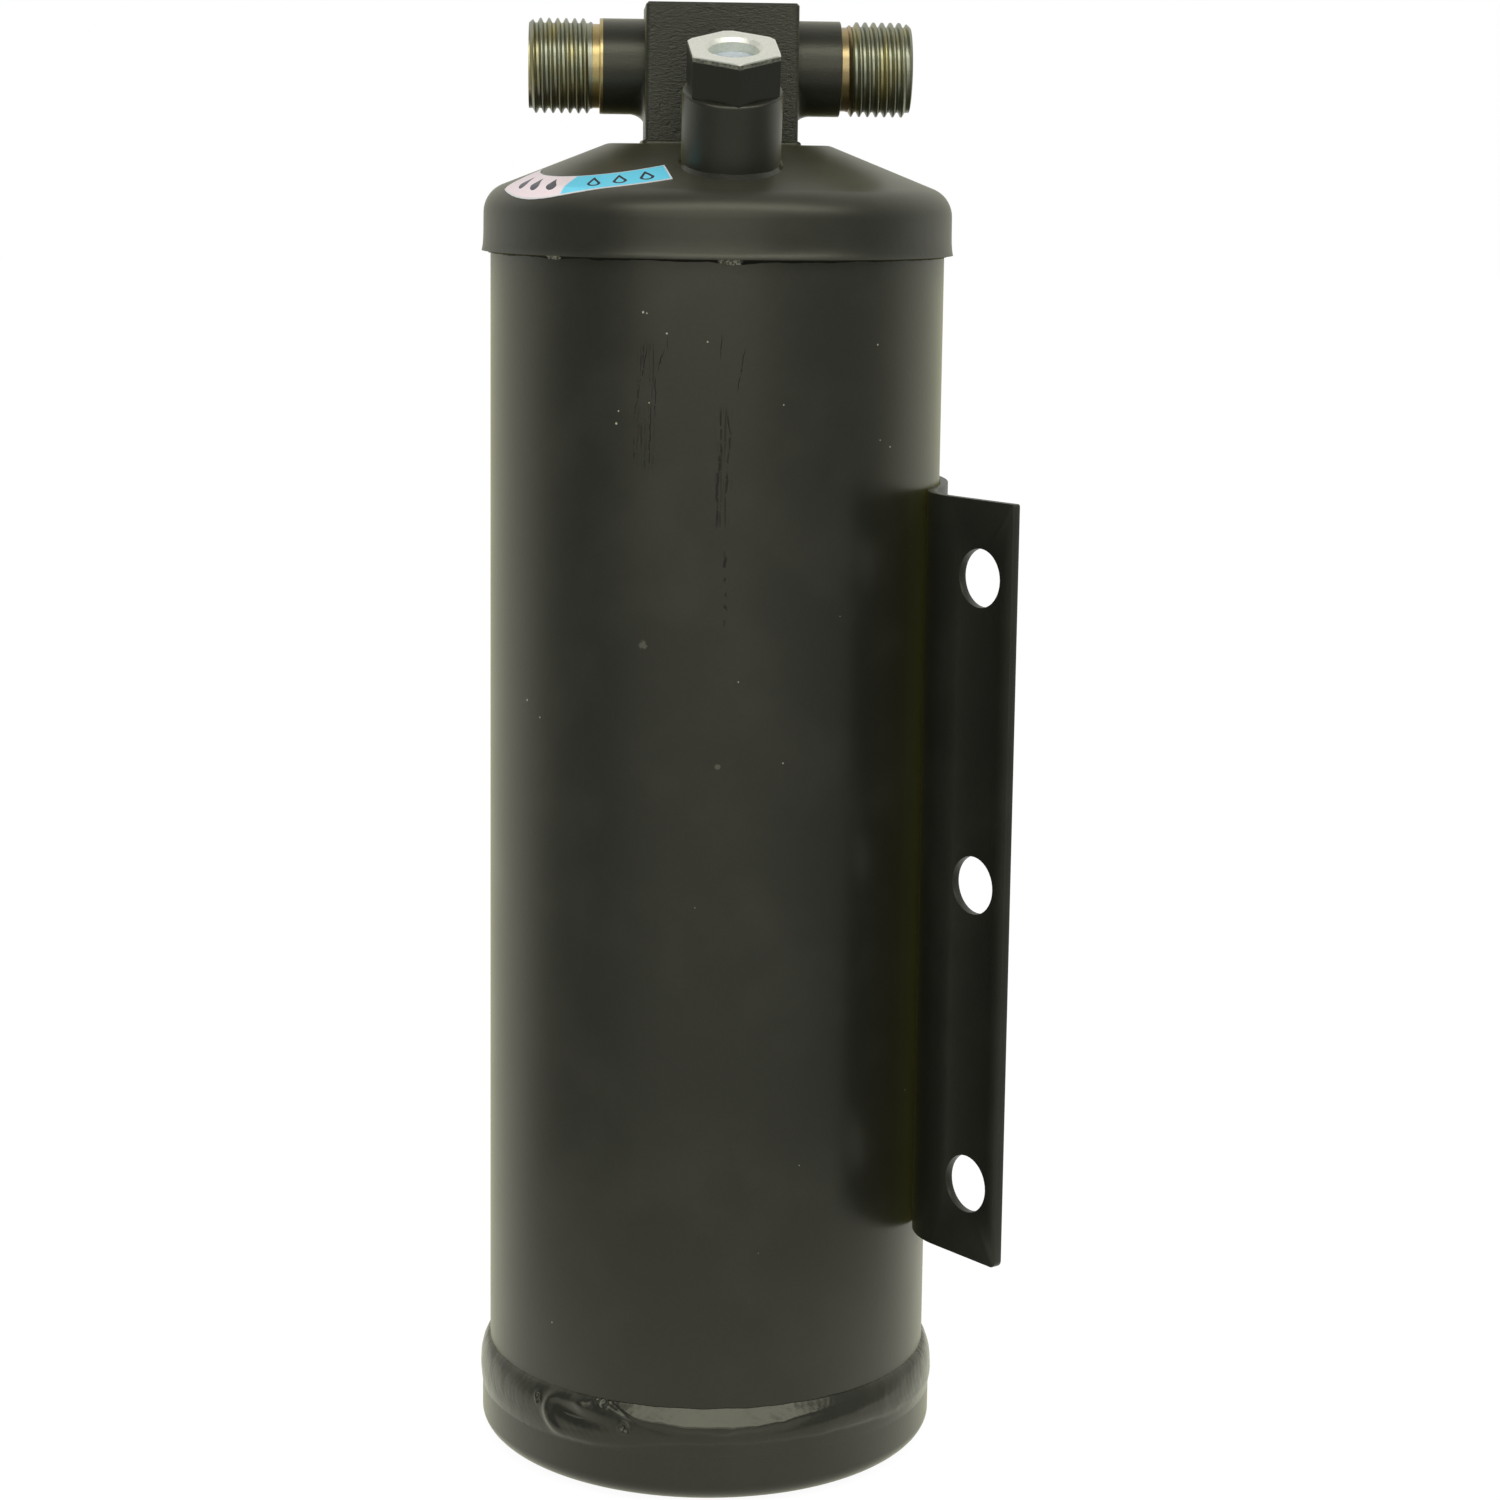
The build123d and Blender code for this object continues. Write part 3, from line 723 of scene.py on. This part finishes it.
def flat_stretch(along, fall, plain):
    """Radius and share of the flat stretch under the tube, and the groove that it starts with."""
    slant = (along + 20.7) - (fall + 0.7) * 2.27
    shown = rise(slant, -0.3, 0.7) * (1 - rise(along, 22, 40))
    foot = 0.70 + 2.25 * bell(along - 1.4, 19)
    foot += 0.20 * wobble((along, 0, 0), 3.5) + 0.06 * wobble((along, 0, 0), 1.1, 3.0)
    lean = 0.70 - 0.10 * rise(along, 6, 26)
    flat = TUBE_R / MM + 0.10 + lean * min(fall, foot)
    if fall > foot:
        flat = plain(fall) + (flat - plain(foot)) * bell(fall - foot, 1.1)
    near = 1 - rise(fall, foot + 0.7, foot + 2.4)
    groove = bell(slant, 0.55) * (1 - rise(fall, 1.4, 2.8)) * rise(fall, -0.2, 0.6)
    return flat, shown * near, 0.22 * groove


class DRIER_OT_cap_braze(bpy.types.Operator):
    """Run the braze under the cap's rim, with its lumps"""

    bl_idname = "drier.cap_braze"
    bl_label = "Cap braze"

    def execute(self, context):
        tall = ring_high.z - ring_low.z
        lumps = ((-45, 2.4, 0.5), (-31.6, 1.6, 0.4), (0.8, 2.6, 0.5), (8, 12, 0.35))
        rows = arc((ring_high.x, ring_low.z), tall, pi / 2, pi, 8)
        outline = [(across, 0, along) for across, along in rows] + [(TUBE_R, 0, ring_high.z)]
        mesh = lathe(outline, 720)
        for corner in mesh.verts:
            depth = (ring_high.z - corner.co.z) / tall
            turn = front_turn(corner.co)
            along = (turn * TUBE_R / MM, 0, 0)
            swell = 0.55 + 0.35 * wobble(along, 5) + 0.15 * wobble(along, 1.2)
            for degrees, width, height in lumps:
                swell += height * bell((turn - radians(degrees)) * TUBE_R, width * MM)
            corner.co.z = ring_high.z - depth * tall * max(0.15, swell)
        # The braze's paint is darkened in the corner under the rim as painted shade.
        paint = paint_material("cap_braze_paint", gloss=-0.15, marks=braze_marks)
        show("cap_braze", mesh, [paint], "cap_braze_ring")
        return {"FINISHED"}


def braze_marks(nodes):
    """Painted shade, dark and rough, in the corner under the rim, but for the crumbs on its two largest
    lumps.
    """
    crumbs = 0.0
    for degrees, width in ((-45, 1.8), (0.8, 2.2)):
        turn = radians(degrees)
        centre = (TUBE_R * sin(turn), -TUBE_R * cos(turn), ring_high.z)
        near = nodes.vector("DISTANCE", nodes.place, centre)
        crumbs = nodes.most(crumbs, nodes.fade(near, width * MM, width * 0.7 * MM))
    ragged = nodes.fade(nodes.noise(0.4, detail=3), 0.44, 0.56)
    # The corner under the rim is darkened and roughened: painted shade.
    painted_shade = nodes.times(nodes.minus(1.0, crumbs), 0.9)
    return painted_shade, nodes.times(nodes.times(crumbs, ragged), 0.5)


class DRIER_OT_header_block(bpy.types.Operator):
    """Paint the header block, run its weld and fill the corners under its fittings"""

    bl_idname = "drier.header_block"
    bl_label = "Header block"

    def execute(self, context):
        dress("header_block", paint_material("block_paint", grain=0.16, gloss=-0.05, haze=0.5))
        paint = paint_material("header_weld_paint", grain=0.03)
        show("block_weld", block_weld_mesh(), [paint], "header_weld", smooth=50)
        for name, side in PORTS:
            paint = paint_material(name + "_fillet_paint", gloss=0.03)
            show(name + "_fillet", port_fillet_mesh(side), [paint],
                 name + "_braze_fillet", smooth=50)
        return {"FINISHED"}


def block_weld_mesh():
    """A round weld bead along the block's foot."""
    weld_low, weld_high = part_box("header_weld")
    leg = weld_high.z - weld_low.z
    corner_r = 0.8 * MM
    sunk = 0.1 * MM
    corner_steps, side_steps, face_steps = 6, 40, 7
    reach = (BLOCK_HALF - corner_r) * sqrt(2)
    path = []
    for turn in (0, pi / 2, pi, 3 * pi / 2):
        middle, after = (
            Vector((cos(away), sin(away), 0)) * reach for away in (turn + pi / 4, turn + 3 * pi / 4)
        )
        for step in range(corner_steps + 1):
            away = turn + pi / 2 * step / corner_steps
            outwards = Vector((cos(away), sin(away), 0))
            path.append((middle, outwards))
        for step in range(1, side_steps):
            path.append((middle.lerp(after, step / side_steps), outwards))
    rows = []
    for middle, outwards in path:
        place = middle + outwards * corner_r
        size = leg * (0.85 + 0.15 * wobble(place, 3 * MM))
        row = [(*(place - outwards * sunk).xy, weld_low.z)]
        for along, across in arc((0, 0), size, 0, pi / 2, face_steps):
            row.append((*(place + outwards * across).xy, weld_low.z + along))
        rows.append(row)
    return ring_of_rows(rows)


def port_fillet_mesh(side):
    """A hollow-faced fillet between shank and block, deep under the shank and slight over it."""
    fillet_low, fillet_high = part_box("outlet_braze_fillet")
    long_leg = fillet_high.x - BLOCK_HALF
    tall_leg = PORT_Z - SHANK_R - fillet_low.z
    sunk = 0.02 * MM
    steps = 128
    rows = []
    for step in range(steps):
        turn = 2 * pi * step / steps
        share = 0.07 + 0.93 * rise(-sin(turn), 0.25, 0.92)
        share += 0.03 * wobble((cos(turn), sin(turn), 0), 0.4)
        outwards = Vector((0, cos(turn), sin(turn)))
        root = Vector((BLOCK_HALF - sunk, 0, PORT_Z)) + outwards * (SHANK_R - sunk)
        row = [root]
        for x, y in arc((1, 1), 1, pi, 3 * pi / 2, 10):
            row.append(root + share * (AHEAD * long_leg * y + outwards * tall_leg * x))
        rows.append(row)
    mesh = ring_of_rows(rows)
    turn_to_side(mesh, side)
    return mesh


class DRIER_OT_fittings(bpy.types.Operator):
    """Turn the two fittings and cut their threads"""

    bl_idname = "drier.fittings"
    bl_label = "Fittings"

    def execute(self, context):
        sizes = context.scene.drier_fitting
        shank = paint_material("shank_paint", peel_depth=0.012, grain=0.03)
        zinc = zinc_material(
            "thread_plating", (0.31, 0.32, 0.23), (0.42, 0.38, 0.17), 0.34, share=0.6, banded=2.5
        )
        golds = {"outlet": (0.44, 0.34, 0.17), "inlet": (0.54, 0.42, 0.18)}
        for name, side in PORTS:
            gold = zinc_material(name + "_neck_plating", golds[name], (0.34, 0.27, 0.10), 0.30)
            show(name + "_port", fitting_mesh(sizes, side), [shank, gold, zinc],
                 name + "_fitting", smooth=40)
        return {"FINISHED"}


def fitting_mesh(sizes, side):
    """A fitting: bore, plain shank, groove and a real right-hand thread."""
    bare_rim = 0.5 * MM if side < 0 else -0.02 * MM
    gold_root = 0.6 * MM if side > 0 else 0
    root = THREAD_R - sizes.depth
    thread_start = PORT_END - sizes.thread_length
    neck_start = thread_start - sizes.neck_length
    neck_r, bore_r, lead_r = 6.9 * MM, 5.4 * MM, 4.0 * MM
    bore_end = PORT_END - 8 * MM
    mouth = 0.6 * MM
    edge = 0.18 * MM
    rim_border = 0.55 * MM
    outside = [
        (BLOCK_HALF, lead_r), (BLOCK_HALF, SHANK_R), (neck_start - rim_border, SHANK_R),
        *arc((neck_start - edge, SHANK_R - edge), edge, pi / 2, 0, 5),
        (neck_start, neck_r), (thread_start, neck_r), (thread_start, root),
    ]
    inside = [
        (PORT_END, root), (PORT_END, bore_r + mouth), (PORT_END - mouth, bore_r),
        (bore_end, bore_r), (bore_end, lead_r), (BLOCK_HALF, lead_r),
    ]
    mesh = bmesh.new()
    for outline in (outside, inside):
        spin(mesh, [(along, 0, across) for along, across in outline], AHEAD, sizes.steps)
    thread = thread_mesh(sizes, thread_start, PORT_END, root)
    data = bpy.data.meshes.new("thread")
    thread.to_mesh(data)
    thread.free()
    mesh.from_mesh(data)
    bpy.data.meshes.remove(data)
    join(mesh)
    paint, gold, zinc = range(3)
    for face in mesh.faces:
        centre = face.calc_center_median()
        radius = hypot(centre.y, centre.z)
        if centre.x > thread_start + gold_root:
            face.material_index = zinc
        elif centre.x > neck_start - bare_rim and radius > lead_r + 1 * MM:
            face.material_index = gold
        else:
            face.material_index = zinc if radius < bore_r + 0.1 * MM else paint
    bmesh.ops.translate(mesh, verts=mesh.verts, vec=(0, 0, PORT_Z))
    turn_to_side(mesh, side)
    return mesh


def thread_mesh(sizes, start, end, root):
    """The threaded sleeve: one tooth spun on a screw path, cut square at both ends."""
    pitch = sizes.pitch
    tip = 0.15 * pitch
    flat = 0.25 * pitch
    flank = (pitch - tip - flat) / 2
    chamfer = 0.9 * MM
    shoulder_r = THREAD_R - 0.05 * MM
    tooth = [
        (0, root), (flat, root), (flat + flank * 0.9, shoulder_r),
        (flat + flank + tip * 0.25, THREAD_R), (flat + flank + tip * 0.75, THREAD_R),
        (flat + flank * 1.1 + tip, shoulder_r), (pitch, root),
    ]
    mesh = bmesh.new()
    points = [(start - 1.5 * pitch + along, 0, across) for along, across in tooth]
    spin(mesh, points, AHEAD, sizes.steps, turns=int((end - start) / pitch) + 3, pitch=pitch)
    bmesh.ops.remove_doubles(mesh, verts=mesh.verts, dist=2e-6)
    for place, outwards in ((start, -1), (end, 1)):
        cut(mesh, (place, 0, 0), (outwards, 0, 0), clear=True)
    for corner in mesh.verts:
        radius = hypot(corner.co.y, corner.co.z)
        from_end = min(corner.co.x - start, end - corner.co.x)
        allowed = root + sizes.depth * min(1, from_end / chamfer)
        if radius > allowed:
            corner.co.y *= allowed / radius
            corner.co.z *= allowed / radius
    return mesh


class DRIER_OT_sight_glass(bpy.types.Operator):
    """Finish the sight glass, its boss and its hexagon plug"""

    bl_idname = "drier.sight_glass"
    bl_label = "Sight glass"

    def execute(self, context):
        dress("sight_glass_boss", paint_material("boss_paint", gloss=-0.04, haze=0.4))
        paint = paint_material("boss_fillet_paint", gloss=0.08, haze=0.4)
        show("boss_fillet", boss_fillet_mesh(), [paint], "boss_braze_ring", smooth=50)
        dress("sight_glass_plug", plug_material())
        rubber = plain_material("seal_rubber", (0.02, 0.02, 0.02), 0.6, 0.3, 0.01)
        dress("lens_seal", rubber)
        dress("sight_glass_lens", glass_material())
        paper = plain_material(
            "indicator_paper", (0.62, 0.80, 0.93), 0.8, 0.2, 0.02, spread=0.15
        )
        dress("moisture_element", paper)
        return {"FINISHED"}


def boss_fillet_mesh():
    """A hollow-faced braze fillet between the boss's wall and the cap's cone."""
    direction, top = sight_axis()
    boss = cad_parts["sight_glass_boss"].data
    across = direction.cross(Vector((0, 1, 0))).normalized()
    ahead = across.cross(direction)
    wall = max((v.co - top).dot(across) for v in boss.vertices)
    skin = packed_skin("top_cap")
    sunk = 0.02 * MM
    mesh = bmesh.new()
    bmesh.ops.create_grid(mesh, x_segments=144, y_segments=9, size=0.5, calc_uvs=False)
    for corner in mesh.verts:
        turn = 2 * pi * (corner.co.x + 0.5)
        share = corner.co.y + 0.5
        outwards = across * cos(turn) + ahead * sin(turn)
        in_front = sin(turn) ** 2 if sin(turn) * ahead.y < 0 else 0.3 * sin(turn) ** 2
        uneven = 0.10 * noise.noise(outwards * 2.5)
        reach = (0.42 + 0.70 * in_front + uneven) * MM
        height = (0.38 + 0.32 * in_front + uneven) * MM
        start = top + outwards * (wall - sunk)
        foot, _, _, _ = skin.ray_cast(start + outwards * reach, -direction)
        root, _, _, _ = skin.ray_cast(start + outwards * sunk, -direction)
        rim = root + direction * height
        hollow = root + outwards * 0.48 * reach + direction * 0.46 * height
        low = foot - direction * sunk / 2
        corner.co = rim * (1 - share) ** 2 + hollow * 2 * share * (1 - share) + low * share**2
    bmesh.ops.remove_doubles(mesh, verts=mesh.verts, dist=2e-6)
    bmesh.ops.bridge_loops(mesh, edges=[edge for edge in mesh.edges if edge.is_boundary])
    face_outwards(mesh)
    return mesh


def sight_axis():
    """The sight glass's direction and the middle of its top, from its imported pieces."""
    corners = {
        name: [v.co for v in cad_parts[name].data.vertices]
        for name in ("sight_glass_lens", "moisture_element", "sight_glass_plug")
    }
    lens, paper, _ = (sum(places, Vector()) / len(places) for places in corners.values())
    direction = (lens - paper).normalized()
    height = max(direction.dot(place) for place in corners["sight_glass_plug"])
    return direction, lens + direction * (height - direction.dot(lens))


def plug_material():
    """Zinc on the plug's top and down to a ragged line, and black paint below it."""
    paint = bpy.context.scene.drier_paint
    direction, top = sight_axis()
    nodes = MaterialNodes("plug_finish")
    offset = nodes.vector("SUBTRACT", nodes.place, top)
    height = nodes.vector("DOT_PRODUCT", offset, direction)
    radius = nodes.vector("LENGTH", nodes.vector("CROSS_PRODUCT", offset, direction))
    ragged = nodes.noise(0.8, detail=5, roughness=0.75)
    level = nodes.plus(height, nodes.times(nodes.minus(ragged, 0.5), 0.9 * MM))
    bore = nodes.fade(radius, 5.6 * MM, 5.3 * MM)
    bare = nodes.most(nodes.fade(level, -0.95 * MM, -0.80 * MM), bore)
    grain = nodes.noise(0.35, detail=3)
    zinc = nodes.mix(nodes.fade(grain, 0.35, 0.75), (0.90, 0.90, 0.80), (0.80, 0.81, 0.70))
    dirt = nodes.mix(nodes.fade(ragged, 0.42, 0.60), (0.30, 0.31, 0.22), (0.05, 0.05, 0.035))
    edge = nodes.fade(height, -0.16 * MM, -0.34 * MM)
    stain = nodes.times(edge, nodes.fade(bore, 0.6, 0.4))
    zinc = nodes.mix(nodes.times(stain, 0.9), zinc, dirt)
    return nodes.finish(
        Base_Color=nodes.mix(bare, tuple(paint.colour), zinc),
        Roughness=nodes.between(bare, paint.roughness - 0.02, 0.50),
        Metallic=bare,
        Normal=nodes.bump(nodes.plus(grain, nodes.times(bare, -1.2)), 0.02),
        Specular_Tint=nodes.mix(bare, tuple(paint.shine), (1, 1, 1)),
    )


class DRIER_OT_label(bpy.types.Operator):
    """Lay the pink and blue moisture label on the cone"""

    bl_idname = "drier.label"
    bl_label = "Moisture label"

    def execute(self, context):
        centre = Vector((-12.9 * MM, -9.3 * MM))
        inner_r, outer_r = 16.7 * MM, 22.7 * MM
        inner_start, outer_start, end = radians(168), radians(188), radians(281.3)
        thickness, lifted = 0.12 * MM, 0.02 * MM
        skin = packed_skin("top_cap")
        mesh = bmesh.new()
        bmesh.ops.create_grid(mesh, x_segments=72, y_segments=12, size=0.5, calc_uvs=False)
        uv = mesh.loops.layers.uv.new("label")
        for face in mesh.faces:
            for loop in face.loops:
                loop[uv].uv = (loop.vert.co.x + 0.5, loop.vert.co.y + 0.5)
        for corner in mesh.verts:
            along, across = corner.co.x + 0.5, corner.co.y + 0.5
            start = inner_start + (outer_start - inner_start) * across
            turn = start + (end - start) * along
            radius = inner_r + (outer_r - inner_r) * across
            flat = centre + radius * Vector((cos(turn), sin(turn)))
            hit, normal, _, _ = skin.ray_cast(Vector((flat.x, flat.y, 1)), -UP)
            corner.co = hit + normal * lifted
        face_outwards(mesh)
        if sum(face.normal.z for face in mesh.faces) < 0:
            bmesh.ops.reverse_faces(mesh, faces=mesh.faces)
        bmesh.ops.solidify(mesh, geom=mesh.faces[:], thickness=-thickness)
        face_outwards(mesh)
        show("moisture_label", mesh, [label_material()], "indicator_label")
        return {"FINISHED"}


def label_material():
    """Pink field with filled drops and blue with hollow ones, drawn on the label's own UV map."""
    colours = bpy.context.scene.drier_label
    nodes = MaterialNodes("label_film")
    along, across, _ = nodes.split(nodes.add("ShaderNodeUVMap", uv_map="label").outputs[0])
    slant = nodes.plus(along, nodes.times(across, 0.062))
    colour = nodes.mix(nodes.fade(slant, 0.555, 0.559), tuple(colours.wet), tuple(colours.dry))
    for centre in (0.19, 0.31, 0.43, 0.66, 0.78, 0.90):
        drop = drop_mask(nodes, along, across, centre, 1.2)
        if centre > 0.5:
            inner = drop_mask(nodes, along, across, centre, 0.70)
            drop = nodes.minus(drop, inner, clamp=True)
        colour = nodes.mix(drop, colour, tuple(colours.ink))
    middle, ends = (nodes.absolute(nodes.minus(part, 0.5)) for part in (across, along))
    rim = nodes.most(nodes.fade(middle, 0.465, 0.475), nodes.fade(ends, 0.492, 0.495))
    print_grain = nodes.noise(0.4)
    return nodes.finish(
        Base_Color=nodes.mix(rim, colour, (0.80, 0.80, 0.78)),
        Roughness=nodes.between(print_grain, 0.30, 0.38),
        Normal=nodes.bump(print_grain, 0.004),
    )


def drop_mask(nodes, along, across, centre, size):
    """1 inside a drop: a round foot and a tip that points to the label's inner edge."""
    label_length, label_width = 33.0, 6.1
    tip_level = 0.64
    foot_r = 0.88 * size
    tip = 2.3 * size
    x = nodes.times(nodes.minus(along, centre), label_length)
    y = nodes.times(nodes.minus(tip_level, across), label_width)
    foot = nodes.below(nodes.plus(nodes.square(x), nodes.square(y)), foot_r**2)
    slope = foot_r / sqrt(tip**2 - foot_r**2)
    width = nodes.times(nodes.minus(tip, y), slope)
    beside = nodes.below(nodes.absolute(x), width)
    point = nodes.times(beside, nodes.above(y, foot_r**2 / tip))
    return nodes.most(foot, point)


class DRIER_OT_bracket(bpy.types.Operator):
    """Round the bracket's sheet edges, paint it and its welds"""

    bl_idname = "drier.bracket"
    bl_label = "Mounting bracket"

    def execute(self, context):
        mesh = packed_copy("mounting_bracket")
        bmesh.ops.dissolve_limit(
            mesh, angle_limit=radians(0.5), verts=mesh.verts[:], edges=mesh.edges[:],
            use_dissolve_boundaries=False, delimit=set(),
        )
        sharp = [
            edge for edge in mesh.edges
            if len(edge.link_faces) == 2 and edge.calc_face_angle(0) > radians(40)
        ]
        bmesh.ops.bevel(
            mesh, geom=sharp, offset=0.12 * MM, offset_type="OFFSET", affect="EDGES", segments=2,
            profile=0.5, material=-1, clamp_overlap=True,
        )
        bmesh.ops.triangulate(mesh, faces=mesh.faces)
        paint = paint_material(
            "bracket_paint", peel_depth=0.006, marks=bracket_marks, gloss=-0.08, haze=0.15
        )
        show("bracket_sheet", mesh, [paint], "mounting_bracket", smooth=30)
        dress("bracket_welds", paint_material("bracket_weld_paint", grain=0.04))
        return {"FINISHED"}


def bracket_marks(nodes):
    """No lines, and pale scuffs in a few places."""
    scuff = nodes.fade(nodes.noise(1.1, detail=6, roughness=0.7), 0.66, 0.74)
    sparse = nodes.fade(nodes.noise(9, detail=2), 0.58, 0.70)
    return 0.0, nodes.times(nodes.times(scuff, sparse), 0.25)


class DRIER_OT_inside(bpy.types.Operator):
    """Finish the pieces inside the canister"""

    bl_idname = "drier.inside"
    bl_label = "Inside"

    def execute(self, context):
        steel = plain_material("plain_steel", (0.50, 0.50, 0.49), 0.38, 0.5, 0.01, 1.0)
        for name in ("pickup_tube", "strainer", "lower_retainer", "upper_perforated_plate"):
            dress(name, steel)
        spring = plain_material("spring_steel", (0.34, 0.33, 0.31), 0.30, 0.8, 0.01, 1.0)
        dress("compression_spring", spring)
        felt = plain_material("filter_felt", (0.80, 0.78, 0.70), 0.95, 0.6, 0.15)
        for name in ("lower_filter_pad", "upper_filter_pad"):
            dress(name, felt)
        dress("desiccant_charge", bead_material())
        return {"FINISHED"}


def bead_material():
    """Packed desiccant beads, with painted shade darkening the gaps between them."""
    nodes = MaterialNodes("desiccant_beads")
    distance = nodes.cells(2.2)["Distance"]
    # Darker towards each bead's edge: painted shade in the gaps between beads.
    shade = nodes.mix(nodes.fade(distance, 0.15, 0.65), (0.72, 0.62, 0.48), (0.20, 0.16, 0.11))
    normal = nodes.bump(nodes.minus(1.0, distance), 0.8)
    return nodes.finish(Base_Color=shade, Roughness=0.85, Normal=normal)


class DRIER_OT_stage(bpy.types.Operator):
    """Set the camera, the pale floor, the white surround and the soft lamps"""

    bl_idname = "drier.stage"
    bl_label = "Stage"

    def execute(self, context):
        stage = context.scene.drier_stage
        set_camera(stage)
        set_floor(stage)
        set_world(stage)
        above = (0.22, -0.84, 1.04)
        behind_camera = (-0.28, -1.40, 0.55)
        add_lamp("overhead", above, (above[0], 0, 0.20), (2.5, 0.42), stage.overhead_power)
        add_lamp("front", behind_camera, (0, 0, 0.20), (1.85, 0.75), stage.front_power)
        context.scene.view_settings.view_transform = "Standard"
        return {"FINISHED"}


def set_camera(stage):
    """The camera, solved from the drier's edges in the photograph."""
    place = Vector((-0.02152, -0.55046, 0.22223))
    yaw, pitch, roll = 0.05057, 0.15598, 0.01255
    ahead = Vector((sin(yaw) * cos(pitch), cos(yaw) * cos(pitch), -sin(pitch)))
    level = Vector((cos(yaw), -sin(yaw), 0))
    upright = level.cross(ahead)
    right = cos(roll) * level + sin(roll) * upright
    above = -sin(roll) * level + cos(roll) * upright
    data = bpy.data.cameras.new("camera")
    data.lens = stage.lens
    data.sensor_width = 36
    data.sensor_fit = "HORIZONTAL"
    data.shift_y = -0.05563
    data.clip_start = 0.01
    data.clip_end = 100
    camera = add_object("camera", data)
    turned = Matrix((right, above, -ahead)).transposed().to_4x4()
    camera.matrix_world = Matrix.Translation(place) @ turned
    bpy.context.scene.camera = camera


def set_floor(stage):
    """A pale floor that is white to the camera but for the shadow, and dim in front to reflections."""
    background_white, over_white = 0.82, 1.12
    nodes = MaterialNodes("floor")
    nodes.finish(Base_Color=(0.86, 0.86, 0.85), Roughness=0.9, Specular_IOR_Level=0.0)
    _, depth, _ = nodes.split(nodes.vector("NORMALIZE", nodes.place))
    front = nodes.fade(depth, -0.5, -0.95)
    level = nodes.toward(stage.floor_side, stage.floor_front, front)
    level = nodes.toward(level, background_white, nodes.fade(depth, -0.15, 0.45))
    near = nodes.fade(nodes.vector("LENGTH", nodes.place), 0.26, 0.05)
    at_foot = nodes.minus(1.0, nodes.times(front, 0.25))
    level = nodes.toward(level, at_foot, near)
    rays = nodes.add("ShaderNodeLightPath").outputs
    level = nodes.most(level, nodes.times(rays["Is Camera Ray"], over_white))
    shown = nodes.most(rays["Is Camera Ray"], rays["Is Glossy Ray"])
    shown = nodes.most(shown, rays["Is Transmission Ray"])
    glow = nodes.fed("ShaderNodeEmission", {"Strength": level})[0]
    white = nodes.times(shown, stage.floor_white)
    blend = nodes.fed("ShaderNodeMixShader", {0: white, 1: nodes.shader.outputs[0], 2: glow})[0]
    nodes.feed(nodes.tree.nodes["Material Output"].inputs["Surface"], blend)
    mesh = bmesh.new()
    bmesh.ops.create_grid(mesh, x_segments=1, y_segments=1, size=stage.floor_size / 2)
    floor = add_mesh("floor", mesh, [nodes.material])


def set_world(stage):
    """A white surround behind the drier, dim at its sides, above it and behind the camera."""
    world = bpy.data.worlds.new("surround")
    world.use_nodes = True
    nodes = Nodes(world.node_tree)
    across, depth, height = nodes.split(nodes.coordinates["Generated"])
    side = nodes.fade(across, -0.5, 0.6, stage.left_level, stage.right_level)
    back = nodes.fade(height, 0.10, 0.55, 0.66, stage.ceiling_level)
    level = nodes.fade(depth, -0.15, 0.45, side, back)
    seen = nodes.add("ShaderNodeLightPath").outputs["Is Camera Ray"]
    surround = world.node_tree.nodes["Background"]
    nodes.feed(surround.inputs["Strength"], nodes.toward(level, 1.0, seen))
    surround.inputs["Color"].default_value = (1, 1, 1, 1)
    bpy.context.scene.world = world


def add_lamp(name, place, target, size, power):
    data = bpy.data.lights.new(name, "AREA")
    data.shape = "RECTANGLE"
    data.size, data.size_y = size
    data.energy = power
    lamp = add_object(name, data)
    lamp.location = place
    lamp.rotation_euler = (Vector(target) - Vector(place)).to_track_quat("-Z", "Y").to_euler()


OPERATORS = (
    DRIER_OT_canister,
    DRIER_OT_bottom_weld,
    DRIER_OT_cap_braze,
    DRIER_OT_header_block,
    DRIER_OT_fittings,
    DRIER_OT_sight_glass,
    DRIER_OT_label,
    DRIER_OT_bracket,
    DRIER_OT_inside,
    DRIER_OT_stage,
)
SETTINGS = {
    "drier_paint": PaintSettings,
    "drier_fitting": FittingSettings,
    "drier_weld": WeldSettings,
    "drier_label": LabelSettings,
    "drier_stage": StageSettings,
}


class DRIER_PT_panel(bpy.types.Panel):
    """Lists the drier's pieces and sizes"""

    bl_idname = "DRIER_PT_panel"
    bl_label = "Receiver Drier"
    bl_space_type = "VIEW_3D"
    bl_region_type = "UI"
    bl_category = "Drier"

    def draw(self, context):
        for name in SETTINGS:
            group = getattr(context.scene, name)
            box = self.layout.box()
            for size in group.bl_rna.properties.keys():
                if size not in ("rna_type", "name"):
                    box.prop(group, size)
        for operator in OPERATORS:
            self.layout.operator(operator.bl_idname)


def register():
    for name, group in SETTINGS.items():
        bpy.utils.register_class(group)
        setattr(bpy.types.Scene, name, PointerProperty(type=group))
    for thing in (*OPERATORS, DRIER_PT_panel):
        bpy.utils.register_class(thing)


def unregister():
    for thing in (DRIER_PT_panel, *reversed(OPERATORS)):
        bpy.utils.unregister_class(thing)
    for name, group in reversed(SETTINGS.items()):
        delattr(bpy.types.Scene, name)
        bpy.utils.unregister_class(group)


def main():
    register()
    for operator in OPERATORS:
        group, name = operator.bl_idname.split(".")
        getattr(getattr(bpy.ops, group), name)()


def corners(box):
    """A box as plain lists of numbers."""
    return [list(corner) for corner in box]


if __name__ == "__main__":
    main()
